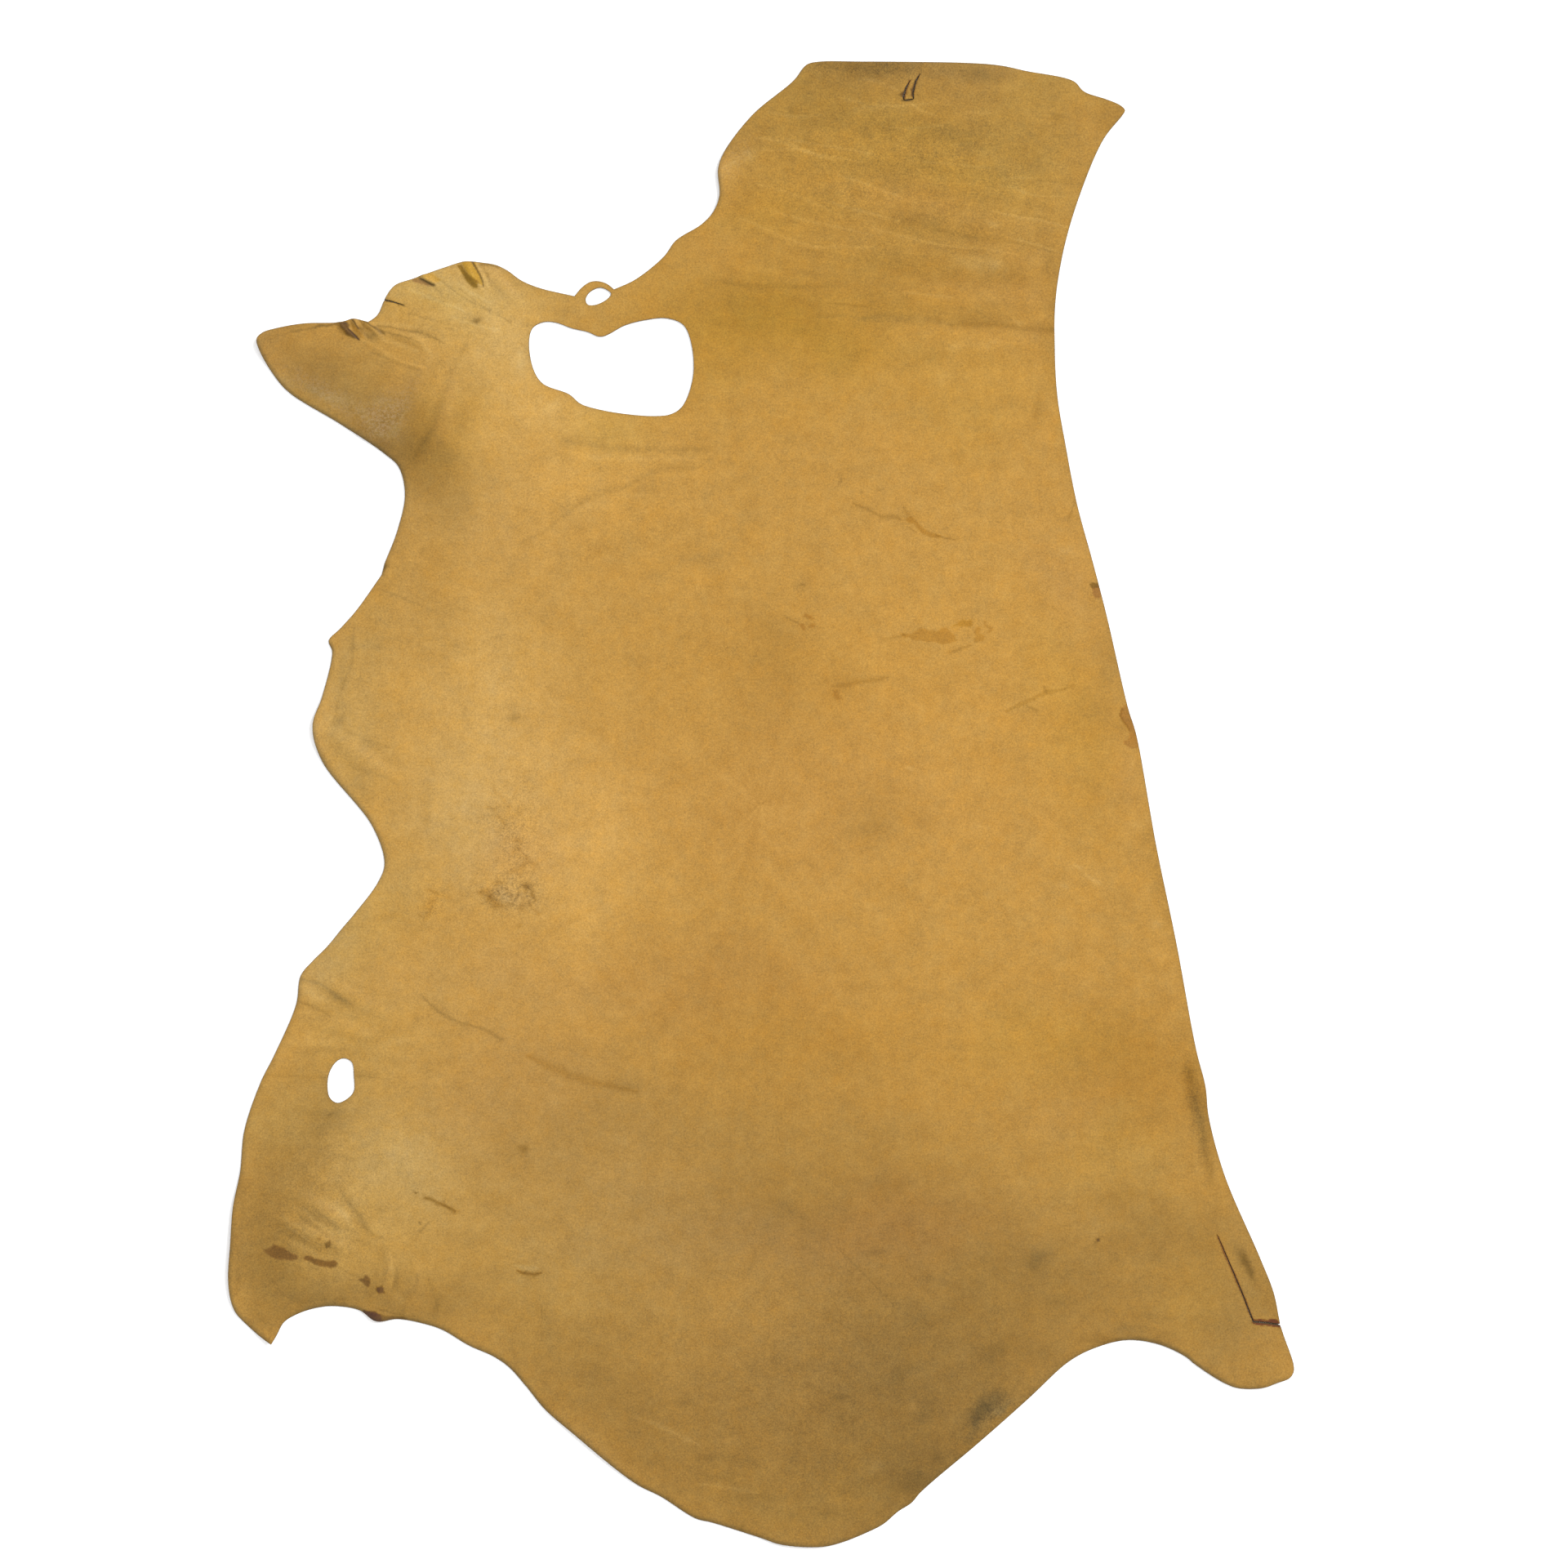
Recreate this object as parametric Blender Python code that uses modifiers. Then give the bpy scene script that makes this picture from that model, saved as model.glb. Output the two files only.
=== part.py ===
"""A tanned cow side: one sheet of leather that lies flat with its grain side up.

The neck points along +Y and the backbone edge faces +X. The origin is the middle of the side's
box, at the surface that it lies on. Lengths in the tables are millimetres on the cutter's grid,
counted across and along the side from the lower left corner of that box.
"""

import math

import bmesh
import bpy
import numpy as np

MM = 0.001

# Driving sizes, in metres
SIDE_WIDTH = 1.563
SIDE_LENGTH = 2.180
THICKNESS = 0.0022
SHEET_CELL = 0.046
EDGE_STEP = 0.020
CUTTER_HEIGHT = 0.060
# The sheet's cells are moved by this much, so that none of their corners lies on the edge.
CELL_SHIFT = (0.0037, 0.0023)

# A fold gets cells of at most this share of its half width.
FOLD_DETAIL = 0.75
FINEST_SPLITS = 3

LEATHER_COLOUR = (0.42, 0.27, 0.09, 1.0)
LEATHER_ROUGHNESS = 0.62

# Edge stations run clockwise from the left end of the neck cut. Columns: across, along, turn.
# The edge runs on smoothly through a "round" station and breaks direction at a "corner".
EDGE = {
    "neck cut": (
        (849, 2176, "round"),
        (865, 2180, "round"),
        (930, 2180, "round"),
        (1079, 2179, "round"),
        (1133, 2175, "round"),
        (1171, 2167, "round"),
        (1241, 2152, "round"),
        (1256, 2137, "round"),
        (1289, 2125, "round"),
        (1310, 2115, "round"),
        (1316, 2108, "round"),
        (1312, 2101, "round"),
    ),
    "backbone edge": (
        (1285, 2067, "round"),
        (1249, 1982, "round"),
        (1226, 1903, "round"),
        (1214, 1828, "round"),
        (1213, 1760, "round"),
        (1217, 1690, "round"),
        (1229, 1618, "round"),
        (1246, 1531, "round"),
        (1269, 1446, "round"),
        (1289, 1369, "round"),
        (1321, 1231, "round"),
        (1333, 1192, "round"),
        (1363, 1024, "round"),
        (1393, 880, "round"),
        (1421, 728, "round"),
        (1434, 676, "round"),
        (1439, 631, "round"),
        (1463, 544, "round"),
        (1515, 423, "round"),
        (1534, 374, "round"),
        (1545, 324, "round"),
    ),
    "tail lobe": (
        (1563, 268, "round"),
        (1563, 257, "round"),
        (1557, 248, "round"),
        (1540, 241, "round"),
        (1519, 233, "round"),
        (1485, 232, "round"),
        (1462, 240, "round"),
        (1420, 267, "round"),
    ),
    "rump edge": (
        (1405, 279, "round"),
        (1365, 297, "round"),
        (1319, 303, "round"),
        (1274, 292, "round"),
        (1235, 272, "round"),
        (1175, 218, "round"),
        (1096, 148, "round"),
        (1016, 79, "round"),
        (1003, 64, "round"),
        (983, 51, "round"),
        (962, 33, "round"),
        (941, 22, "round"),
        (903, 7, "round"),
        (871, 0, "round"),
        (812, 3, "round"),
        (780, 13, "round"),
        (710, 35, "round"),
        (686, 41, "round"),
        (635, 73, "round"),
        (598, 92, "round"),
        (507, 165, "round"),
        (464, 202, "round"),
        (437, 235, "round"),
        (412, 263, "round"),
        (389, 279, "round"),
        (353, 295, "round"),
        (314, 318, "round"),
        (287, 327, "round"),
        (248, 334, "round"),
        (217, 331, "round"),
        (192, 347, "round"),
        (154, 353, "round"),
        (127, 350, "round"),
        (100, 341, "round"),
        (81, 329, "round"),
        (70, 309, "round"),
    ),
    "hind shank": (
        (63, 297, "corner"),
        (42, 312, "round"),
        (22, 330, "round"),
        (10, 344, "round"),
        (3, 364, "round"),
        (0, 394, "round"),
        (3, 442, "round"),
        (7, 499, "round"),
        (17, 550, "round"),
        (23, 610, "round"),
        (47, 681, "round"),
        (67, 721, "round"),
        (99, 795, "round"),
    ),
    "flank": (
        (106, 838, "round"),
        (123, 859, "round"),
        (145, 881, "round"),
        (168, 909, "round"),
        (185, 929, "round"),
        (220, 976, "round"),
        (229, 1003, "round"),
        (211, 1058, "round"),
        (137, 1154, "round"),
        (124, 1205, "round"),
        (137, 1246, "round"),
        (151, 1301, "round"),
        (152, 1316, "round"),
        (147, 1330, "round"),
        (165, 1349, "round"),
    ),
    "belly": (
        (188, 1375, "round"),
        (225, 1427, "corner"),
        (229, 1443, "corner"),
        (248, 1492, "round"),
        (259, 1545, "round"),
        (250, 1585, "round"),
        (229, 1605, "round"),
        (165, 1648, "round"),
        (90, 1694, "round"),
    ),
    "fore shank": (
        (68, 1718, "round"),
        (46, 1756, "round"),
        (42, 1773, "round"),
        (50, 1782, "round"),
        (70, 1789, "round"),
        (109, 1796, "round"),
        (164, 1798, "round"),
        (183, 1803, "round"),
        (205, 1798, "corner"),
    ),
    "throat": (
        (219, 1809, "round"),
        (231, 1835, "round"),
        (244, 1852, "round"),
        (271, 1862, "round"),
        (316, 1878, "round"),
        (347, 1887, "round"),
        (375, 1885, "round"),
        (392, 1882, "round"),
        (409, 1874, "round"),
        (430, 1859, "round"),
        (457, 1848, "round"),
        (508, 1836, "corner"),
    ),
    "ring of skin": (
        (519, 1849, "round"),
        (531, 1857, "round"),
        (544, 1858, "round"),
        (556, 1854, "round"),
        (566, 1846, "corner"),
    ),
    "neck side": (
        (598, 1861, "round"),
        (640, 1895, "round"),
        (657, 1918, "round"),
        (695, 1942, "round"),
        (712, 1960, "round"),
        (721, 1984, "round"),
        (719, 2022, "round"),
        (728, 2048, "round"),
        (770, 2103, "round"),
        (830, 2153, "round"),
    ),
}

# Holes, clockwise, with the same columns
HOLES = {
    "throat hole": (
        (441, 1769, "round"),
        (446, 1789, "round"),
        (461, 1798, "round"),
        (479, 1798, "round"),
        (505, 1789, "round"),
        (527, 1784, "round"),
        (547, 1777, "round"),
        (583, 1794, "round"),
        (610, 1801, "round"),
        (643, 1804, "round"),
        (668, 1794, "round"),
        (680, 1765, "round"),
        (682, 1717, "round"),
        (667, 1675, "round"),
        (650, 1663, "round"),
        (626, 1660, "round"),
        (583, 1663, "round"),
        (547, 1669, "round"),
        (517, 1678, "round"),
        (500, 1692, "round"),
        (461, 1708, "round"),
        (447, 1730, "round"),
    ),
    "flank hole": (
        (169, 717, "round"),
        (181, 711, "round"),
        (184, 691, "round"),
        (183, 666, "round"),
        (160, 651, "round"),
        (148, 659, "round"),
        (146, 690, "round"),
        (157, 711, "round"),
    ),
    "ring hole": (
        (524, 1831, "round"),
        (530, 1842, "round"),
        (546, 1849, "round"),
        (562, 1840, "round"),
        (555, 1831, "round"),
        (537, 1823, "round"),
        (527, 1824, "round"),
    ),
}

# Knife cuts through the sheet. Columns: across, along, width.
CUTS = {
    "tail cut": (
        (1452, 458, 0.8),
        (1468, 421, 1.6),
        (1487, 376, 1.8),
        (1505, 330, 2.6),
        (1526, 328, 3.4),
        (1552, 324, 3.0),
    ),
    "neck tongue": (
        (1016, 2163, 0.8),
        (1009, 2152, 2.4),
        (1005, 2135, 2.4),
        (1006, 2126, 1.6),
        (992, 2124, 1.6),
        (991, 2129, 3.0),
        (995, 2143, 2.6),
        (1001, 2153, 0.8),
    ),
    "throat cut": (
        (222, 1833, 1.8),
        (240, 1828, 1.6),
        (256, 1824, 0.8),
    ),
}

# Folds, each a soft ridge between two troughs, or a lifted stretch of edge.
# Columns: across, along, turn in degrees, half length, half width, bow, height.
FOLDS = {
    "neck roll at the shoulder": (1060, 1762, 0, 240, 36, 8, 4.0),
    "neck roll in the middle": (1085, 1826, -2, 210, 33, 6, 5.0),
    "neck roll above": (1050, 1892, -4, 250, 34, -6, 4.0),
    "nape roll, lower": (985, 1962, -9, 270, 34, -10, 3.5),
    "nape roll, upper": (990, 2040, -7, 250, 36, -12, 3.0),
    "neck cut lift": (930, 2195, 0, 130, 50, 0, 5.0),
    "neck corner lift": (1330, 2112, 0, 66, 62, 0, 7.0),
    "throat corner lift": (705, 2010, 90, 84, 46, 0, 5.0),
    "shoulder roll, upper": (560, 1572, 27, 190, 36, 10, 3.5),
    "shoulder roll, lower": (610, 1500, 27, 200, 40, 10, 3.0),
    "fore shank ridge": (303, 1654, 73, 110, 30, 12, 7.0),
    "fore shank hollow edge": (222, 1680, 60, 90, 30, -8, 4.0),
    "fore shank tip lift": (30, 1765, 60, 74, 52, 0, 8.0),
    "shank pleat, left": (169, 1790, -48, 25, 8, 3, 6.0),
    "shank pleat, middle": (189, 1791, -60, 25, 7, 2, 6.5),
    "shank pleat, right": (210, 1790, -42, 27, 8, -2, 5.0),
    "shank wrinkle": (262, 1776, -22, 60, 12, -4, 3.0),
    "throat tuck": (290, 1862, -34, 22, 8, 2, 5.5),
    "throat flap": (356, 1868, -58, 34, 12, 3, 7.5),
    "throat wrinkle": (402, 1850, -48, 50, 15, 4, 3.0),
    "belly lift": (104, 1205, 88, 120, 50, 0, 9.0),
    "belly notch lift": (244, 1400, 60, 90, 34, 0, 4.0),
    "flank roll": (190, 1160, -35, 80, 22, 6, 4.0),
    "flank wrinkle": (180, 806, -28, 85, 20, 5, 4.5),
    "flank wrinkle, lower": (165, 760, -16, 80, 18, 4, 3.5),
    "hind shank lift": (-22, 430, 86, 190, 66, 0, 9.0),
    "rump tip lift": (66, 282, 0, 62, 56, 0, 8.0),
    "belly ripple, upper": (140, 492, -30, 78, 18, 5, 4.0),
    "belly ripple, lower": (132, 452, -24, 88, 16, 4, 3.5),
    "rump ripple, left": (222, 392, 70, 52, 15, 4, 3.5),
    "rump ripple, right": (268, 380, 78, 60, 16, 4, 3.5),
    "rump lip": (216, 326, -16, 52, 26, 0, 5.0),
    "rump edge lift": (520, 128, -40, 150, 42, 0, 6.0),
    "bottom lift": (850, -26, 0, 200, 56, 0, 8.0),
    "rump curve lift": (1150, 178, 41, 150, 42, 0, 6.0),
    "tail lobe lift": (1568, 250, 0, 84, 74, 0, 9.0),
    "tail cut flap": (1548, 360, -62, 70, 34, 0, 5.0),
    "backbone lift": (1452, 650, -72, 170, 42, 0, 7.0),
    "backbone lift, upper": (1386, 990, -78, 160, 40, 0, 5.0),
    "neck edge lift": (1226, 1790, 90, 150, 36, 0, 5.0),
}

CORNER_MARK = "corner"


def smooth_piece(before, start, end, after, steps):
    """Points from start up to end on the centripetal spline through the four stations.

    The spline's speed at a station is the difference quotient over its two neighbours, each gap
    counted as the square root of its length. A cubic then joins the two speeds.
    """
    gaps = [math.sqrt(np.linalg.norm(b - a)) for a, b in ((before, start), (start, end), (end, after))]
    back, mid, fore = (max(gap, 1e-6) for gap in gaps)
    leave = (start - before) / back - (end - before) / (back + mid) + (end - start) / mid
    arrive = (end - start) / mid - (after - start) / (mid + fore) + (after - end) / fore
    t = np.linspace(0.0, 1.0, steps, endpoint=False)[:, None]
    return (
        start * (2 * t**3 - 3 * t**2 + 1)
        + end * (3 * t**2 - 2 * t**3)
        + leave * mid * (t**3 - 2 * t**2 + t)
        + arrive * mid * (t**3 - t**2)
    )


def edge_loop(stations):
    """The closed loop through the stations, in metres, smooth at round ones and sharp at corners."""
    places = [np.array(row[:2], float) * MM for row in stations]
    corner = [row[2] == CORNER_MARK for row in stations]
    count = len(places)
    pieces = []
    for i in range(count):
        before, start, end, after = (places[(i + k) % count] for k in (-1, 0, 1, 2))
        if corner[i]:
            before = 2 * start - end
        if corner[(i + 1) % count]:
            after = 2 * end - start
        steps = max(1, round(np.linalg.norm(end - start) / EDGE_STEP))
        pieces.append(smooth_piece(before, start, end, after, steps))
    return np.concatenate(pieces)


def cut_loop(rows):
    """The thin closed loop round a cut: its line, moved half its width to each side."""
    line = np.array([row[:2] for row in rows], float) * MM
    half = np.array([row[2] for row in rows], float)[:, None] * MM / 2
    heading = np.gradient(line, axis=0)
    heading /= np.linalg.norm(heading, axis=1)[:, None]
    aside = np.stack([-heading[:, 1], heading[:, 0]], axis=1)
    return np.concatenate([line + aside * half, (line - aside * half)[::-1]])


def fold_share(points, fold):
    """How far out each point lies on the fold's oval: 0 on its line, 1 at its foot."""
    across, along, turn, half_length, half_width, bow, _ = fold
    angle = math.radians(turn)
    x = points[:, 0] / MM - across
    y = points[:, 1] / MM - along
    u = (x * math.cos(angle) + y * math.sin(angle)) / half_length
    v = (y * math.cos(angle) - x * math.sin(angle) - bow * u**2) / half_width
    return np.hypot(u, v)


def relief(points):
    """Height of the sheet's underside: each fold adds a squared cosine that ends at its foot."""
    height = np.zeros(len(points))
    for fold in FOLDS.values():
        share = np.minimum(fold_share(points, fold), 1.0)
        height += fold[-1] * MM * np.cos(share * math.pi / 2) ** 2
    return height


def flat_coordinates(bm):
    return np.array([vert.co[:2] for vert in bm.verts])


def split_cells_at_folds(bm):
    """Halves the cells that lie on a fold too narrow for them, up to the finest size."""
    for splits in range(FINEST_SPLITS):
        cell = SHEET_CELL / MM / 2**splits
        narrow = [fold for fold in FOLDS.values() if fold[4] * FOLD_DETAIL < cell]
        middles = np.array([(edge.verts[0].co + edge.verts[1].co)[:2] for edge in bm.edges]) / 2
        lengths = np.array([edge.calc_length() for edge in bm.edges])
        on_fold = np.zeros(len(middles), bool)
        for fold in narrow:
            on_fold |= fold_share(middles, fold) < 1.0
        on_fold &= lengths > 0.7 * cell * MM
        chosen = [edge for edge, chose in zip(bm.edges, on_fold) if chose]
        bmesh.ops.subdivide_edges(bm, edges=chosen, cuts=1, use_grid_fill=True)


def make_sheet(shift):
    """The open, folded sheet, larger than the side all round, on the side's lower face."""
    bm = bmesh.new()
    columns = math.ceil(SIDE_WIDTH / SHEET_CELL) + 2
    rows = math.ceil(SIDE_LENGTH / SHEET_CELL) + 2
    bmesh.ops.create_grid(bm, x_segments=columns, y_segments=rows, size=0.5)
    spread = np.array([columns, rows]) * SHEET_CELL
    for vert in bm.verts:
        vert.co.x = vert.co.x * spread[0] + SIDE_WIDTH / 2 + CELL_SHIFT[0]
        vert.co.y = vert.co.y * spread[1] + SIDE_LENGTH / 2 + CELL_SHIFT[1]
    split_cells_at_folds(bm)
    bmesh.ops.triangulate(bm, faces=bm.faces)
    for vert, height in zip(bm.verts, relief(flat_coordinates(bm))):
        vert.co.z = height
        vert.co.x -= shift[0]
        vert.co.y -= shift[1]
    mesh = bpy.data.meshes.new("hide")
    bm.to_mesh(mesh)
    bm.free()
    return bpy.data.objects.new("hide", mesh)


def make_cutter(name, loops, shift):
    """A solid with upright walls on flat loops: a filled flat curve made a closed mesh."""
    curve = bpy.data.curves.new(name, "CURVE")
    curve.dimensions = "2D"
    curve.fill_mode = "BOTH"
    curve.extrude = CUTTER_HEIGHT / 2
    for loop in loops:
        spline = curve.splines.new("POLY")
        spline.points.add(len(loop) - 1)
        for point, place in zip(spline.points, loop - shift):
            point.co = (place[0], place[1], 0.0, 1.0)
        spline.use_cyclic_u = True
    outline = bpy.data.objects.new(name + " outline", curve)
    cutters.objects.link(outline)
    bpy.context.view_layer.update()
    mesh = bpy.data.meshes.new_from_object(outline.evaluated_get(bpy.context.evaluated_depsgraph_get()))
    bm = bmesh.new()
    bm.from_mesh(mesh)
    bmesh.ops.remove_doubles(bm, verts=bm.verts, dist=MM / 100)
    bm.to_mesh(mesh)
    bm.free()
    cutter = bpy.data.objects.new(name, mesh)
    cutter.matrix_world = outline.matrix_world
    cutters.objects.link(cutter)
    bpy.data.objects.remove(outline)
    cutter.hide_render = True
    cutter.display_type = "WIRE"
    return cutter


def cut_with(target, cutter, operation):
    boolean = target.modifiers.new(cutter.name, "BOOLEAN")
    boolean.operation = operation
    boolean.solver = "EXACT"
    boolean.object = cutter


def leather():
    material = bpy.data.materials.new("tan grain leather")
    material.use_nodes = True
    shader = material.node_tree.nodes["Principled BSDF"]
    shader.inputs["Base Color"].default_value = LEATHER_COLOUR
    shader.inputs["Roughness"].default_value = LEATHER_ROUGHNESS
    shader.inputs["Metallic"].default_value = 0.0
    return material


for old in list(bpy.data.objects):
    bpy.data.objects.remove(old)

side = bpy.data.collections.new("leather side")
cutters = bpy.data.collections.new("cutters")
bpy.context.scene.collection.children.link(side)
bpy.context.scene.collection.children.link(cutters)

rim = edge_loop([row for rows in EDGE.values() for row in rows])
middle = (rim.min(axis=0) + rim.max(axis=0)) / 2
side_outline = make_cutter("side outline", [rim] + [edge_loop(rows) for rows in HOLES.values()], middle)
knife_cuts = make_cutter("knife cuts", [cut_loop(rows) for rows in CUTS.values()], middle)

hide = make_sheet(middle)
side.objects.link(hide)
hide.data.materials.append(leather())
hide.data.shade_smooth()
thicken = hide.modifiers.new("thickness", "SOLIDIFY")
thicken.thickness = THICKNESS
thicken.offset = 1.0
cut_with(hide, side_outline, "INTERSECT")
cut_with(hide, knife_cuts, "DIFFERENCE")
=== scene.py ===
"""The looks of a tanned cow side: one sheet of leather that lies flat with its grain side up.

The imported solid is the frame. The sheet here has the same outline, holes, cuts and folds, finer,
with the scars, stains, creases and worn places of the skin painted on its points, and the grain
in its materials. The neck points along +Y and the backbone edge faces +X. Tables are in
millimetres on the cutter's grid, counted across and along the side from its lower left corner.
"""

import math

import bpy
import numpy as np
from bpy.props import FloatProperty, FloatVectorProperty, PointerProperty
from mathutils.geometry import delaunay_2d_cdt
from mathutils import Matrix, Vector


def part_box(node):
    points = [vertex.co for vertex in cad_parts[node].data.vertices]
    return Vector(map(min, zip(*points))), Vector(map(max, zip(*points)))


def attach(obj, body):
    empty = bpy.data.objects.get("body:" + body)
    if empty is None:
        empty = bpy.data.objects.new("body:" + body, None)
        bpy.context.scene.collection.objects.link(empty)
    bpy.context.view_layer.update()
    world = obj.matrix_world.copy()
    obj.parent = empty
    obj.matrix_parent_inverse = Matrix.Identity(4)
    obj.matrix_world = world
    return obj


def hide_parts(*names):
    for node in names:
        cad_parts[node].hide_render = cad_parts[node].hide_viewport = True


bl_info = {
    "name": "Leather side",
    "version": (1, 0, 0),
    "blender": (4, 5, 0),
    "location": "3D View > Sidebar > Leather",
    "description": "Makes a tanned cow side with its grain, scars and folds",
    "category": "Object",
}

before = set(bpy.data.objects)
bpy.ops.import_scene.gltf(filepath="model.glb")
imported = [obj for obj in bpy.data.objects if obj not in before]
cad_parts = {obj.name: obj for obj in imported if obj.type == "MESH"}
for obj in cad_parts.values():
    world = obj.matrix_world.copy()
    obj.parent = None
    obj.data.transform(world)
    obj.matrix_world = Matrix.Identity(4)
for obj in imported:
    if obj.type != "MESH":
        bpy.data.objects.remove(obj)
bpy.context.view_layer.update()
LOW, HIGH = (np.array(corner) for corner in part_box("hide"))

MM = 0.001
CORNER_MARK = "corner"

# Picture: its side in pixels, the length of hide on one pixel, and the place in its middle
PICTURE_PIXELS = 1920
PIXEL_SIZE = 1.2 * MM
PICTURE_CENTRE = (815.4, 1120.2)
SENSOR_WIDTH = 36.0

# Edge stations run clockwise from the left end of the neck cut. Columns: across, along, mark.
# The edge runs on smoothly through a station, and breaks direction at one marked "corner".
EDGE = {
    "neck cut": (
        (849, 2176), (865, 2180), (930, 2180), (1079, 2179), (1133, 2175), (1171, 2167), (1241, 2152),
        (1256, 2137), (1289, 2125), (1310, 2115), (1316, 2108), (1312, 2101),
    ),
    "backbone edge": (
        (1285, 2067), (1249, 1982), (1226, 1903), (1214, 1828), (1213, 1760), (1217, 1690),
        (1229, 1618), (1246, 1531), (1269, 1446), (1289, 1369), (1321, 1231), (1333, 1192),
        (1363, 1024), (1393, 880), (1421, 728), (1434, 676), (1439, 631), (1463, 544), (1515, 423),
        (1534, 374), (1545, 324),
    ),
    "tail lobe": (
        (1563, 268), (1563, 257), (1557, 248), (1540, 241), (1519, 233), (1485, 232), (1462, 240),
        (1420, 267),
    ),
    "rump edge": (
        (1405, 279), (1365, 297), (1319, 303), (1274, 292), (1235, 272), (1175, 218), (1096, 148),
        (1016, 79), (1003, 64), (983, 51), (962, 33), (941, 22), (903, 7), (871, 0), (812, 3),
        (780, 13), (710, 35), (686, 41), (635, 73), (598, 92), (507, 165), (464, 202), (437, 235),
        (412, 263), (389, 279), (353, 295), (314, 318), (287, 327), (248, 334), (217, 331), (192, 347),
        (154, 353), (127, 350), (100, 341), (81, 329), (70, 309),
    ),
    "hind shank": (
        (63, 297, "corner"), (42, 312), (22, 330), (10, 344), (3, 364), (0, 394), (3, 442), (7, 499),
        (17, 550), (23, 610), (47, 681), (67, 721), (99, 795),
    ),
    "flank": (
        (106, 838), (123, 859), (145, 881), (168, 909), (185, 929), (220, 976), (229, 1003),
        (211, 1058), (137, 1154), (124, 1205), (137, 1246), (151, 1301), (152, 1316), (147, 1330),
        (165, 1349),
    ),
    "belly": (
        (188, 1375), (225, 1427, "corner"), (229, 1443, "corner"), (248, 1492), (259, 1545),
        (250, 1585), (229, 1605), (165, 1648), (90, 1694),
    ),
    "fore shank": (
        (68, 1718), (46, 1756), (42, 1773), (50, 1782), (70, 1789), (109, 1796), (164, 1798),
        (183, 1803), (205, 1798, "corner"),
    ),
    "throat": (
        (219, 1809), (231, 1835), (244, 1852), (271, 1862), (316, 1878), (347, 1887), (375, 1885),
        (392, 1882), (409, 1874), (430, 1859), (457, 1848), (508, 1836, "corner"),
    ),
    "ring of skin": (
        (519, 1849), (531, 1857), (544, 1858), (556, 1854), (566, 1846, "corner"),
    ),
    "neck side": (
        (598, 1861), (640, 1895), (657, 1918), (695, 1942), (712, 1960), (721, 1984), (719, 2022),
        (728, 2048), (770, 2103), (830, 2153),
    ),
}

# Holes, clockwise, with the same columns
HOLES = {
    "throat hole": (
        (441, 1769), (446, 1789), (461, 1798), (479, 1798), (505, 1789), (527, 1784), (547, 1777),
        (583, 1794), (610, 1801), (643, 1804), (668, 1794), (680, 1765), (682, 1717), (667, 1675),
        (650, 1663), (626, 1660), (583, 1663), (547, 1669), (517, 1678), (500, 1692), (461, 1708),
        (447, 1730),
    ),
    "flank hole": (
        (169, 717), (181, 711), (184, 691), (183, 666), (160, 651), (148, 659), (146, 690), (157, 711),
    ),
    "ring hole": (
        (524, 1831), (530, 1842), (546, 1849), (562, 1840), (555, 1831), (537, 1823), (527, 1824),
    ),
}

# Knife cuts through the sheet. Columns: across, along, width.
CUTS = {
    "tail cut": (
        (1452, 458, 0.8), (1468, 421, 1.6), (1487, 376, 1.8), (1505, 330, 2.6), (1526, 328, 3.4),
        (1552, 324, 3),
    ),
    "neck tongue": (
        (1016, 2163, 0.8), (1009, 2152, 2.4), (1005, 2135, 2.4), (1006, 2126, 1.6), (992, 2124, 1.6),
        (991, 2129, 3), (995, 2143, 2.6), (1001, 2153, 0.8),
    ),
    "throat cut": (
        (222, 1833, 1.8), (240, 1828, 1.6), (256, 1824, 0.8),
    ),
}

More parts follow.
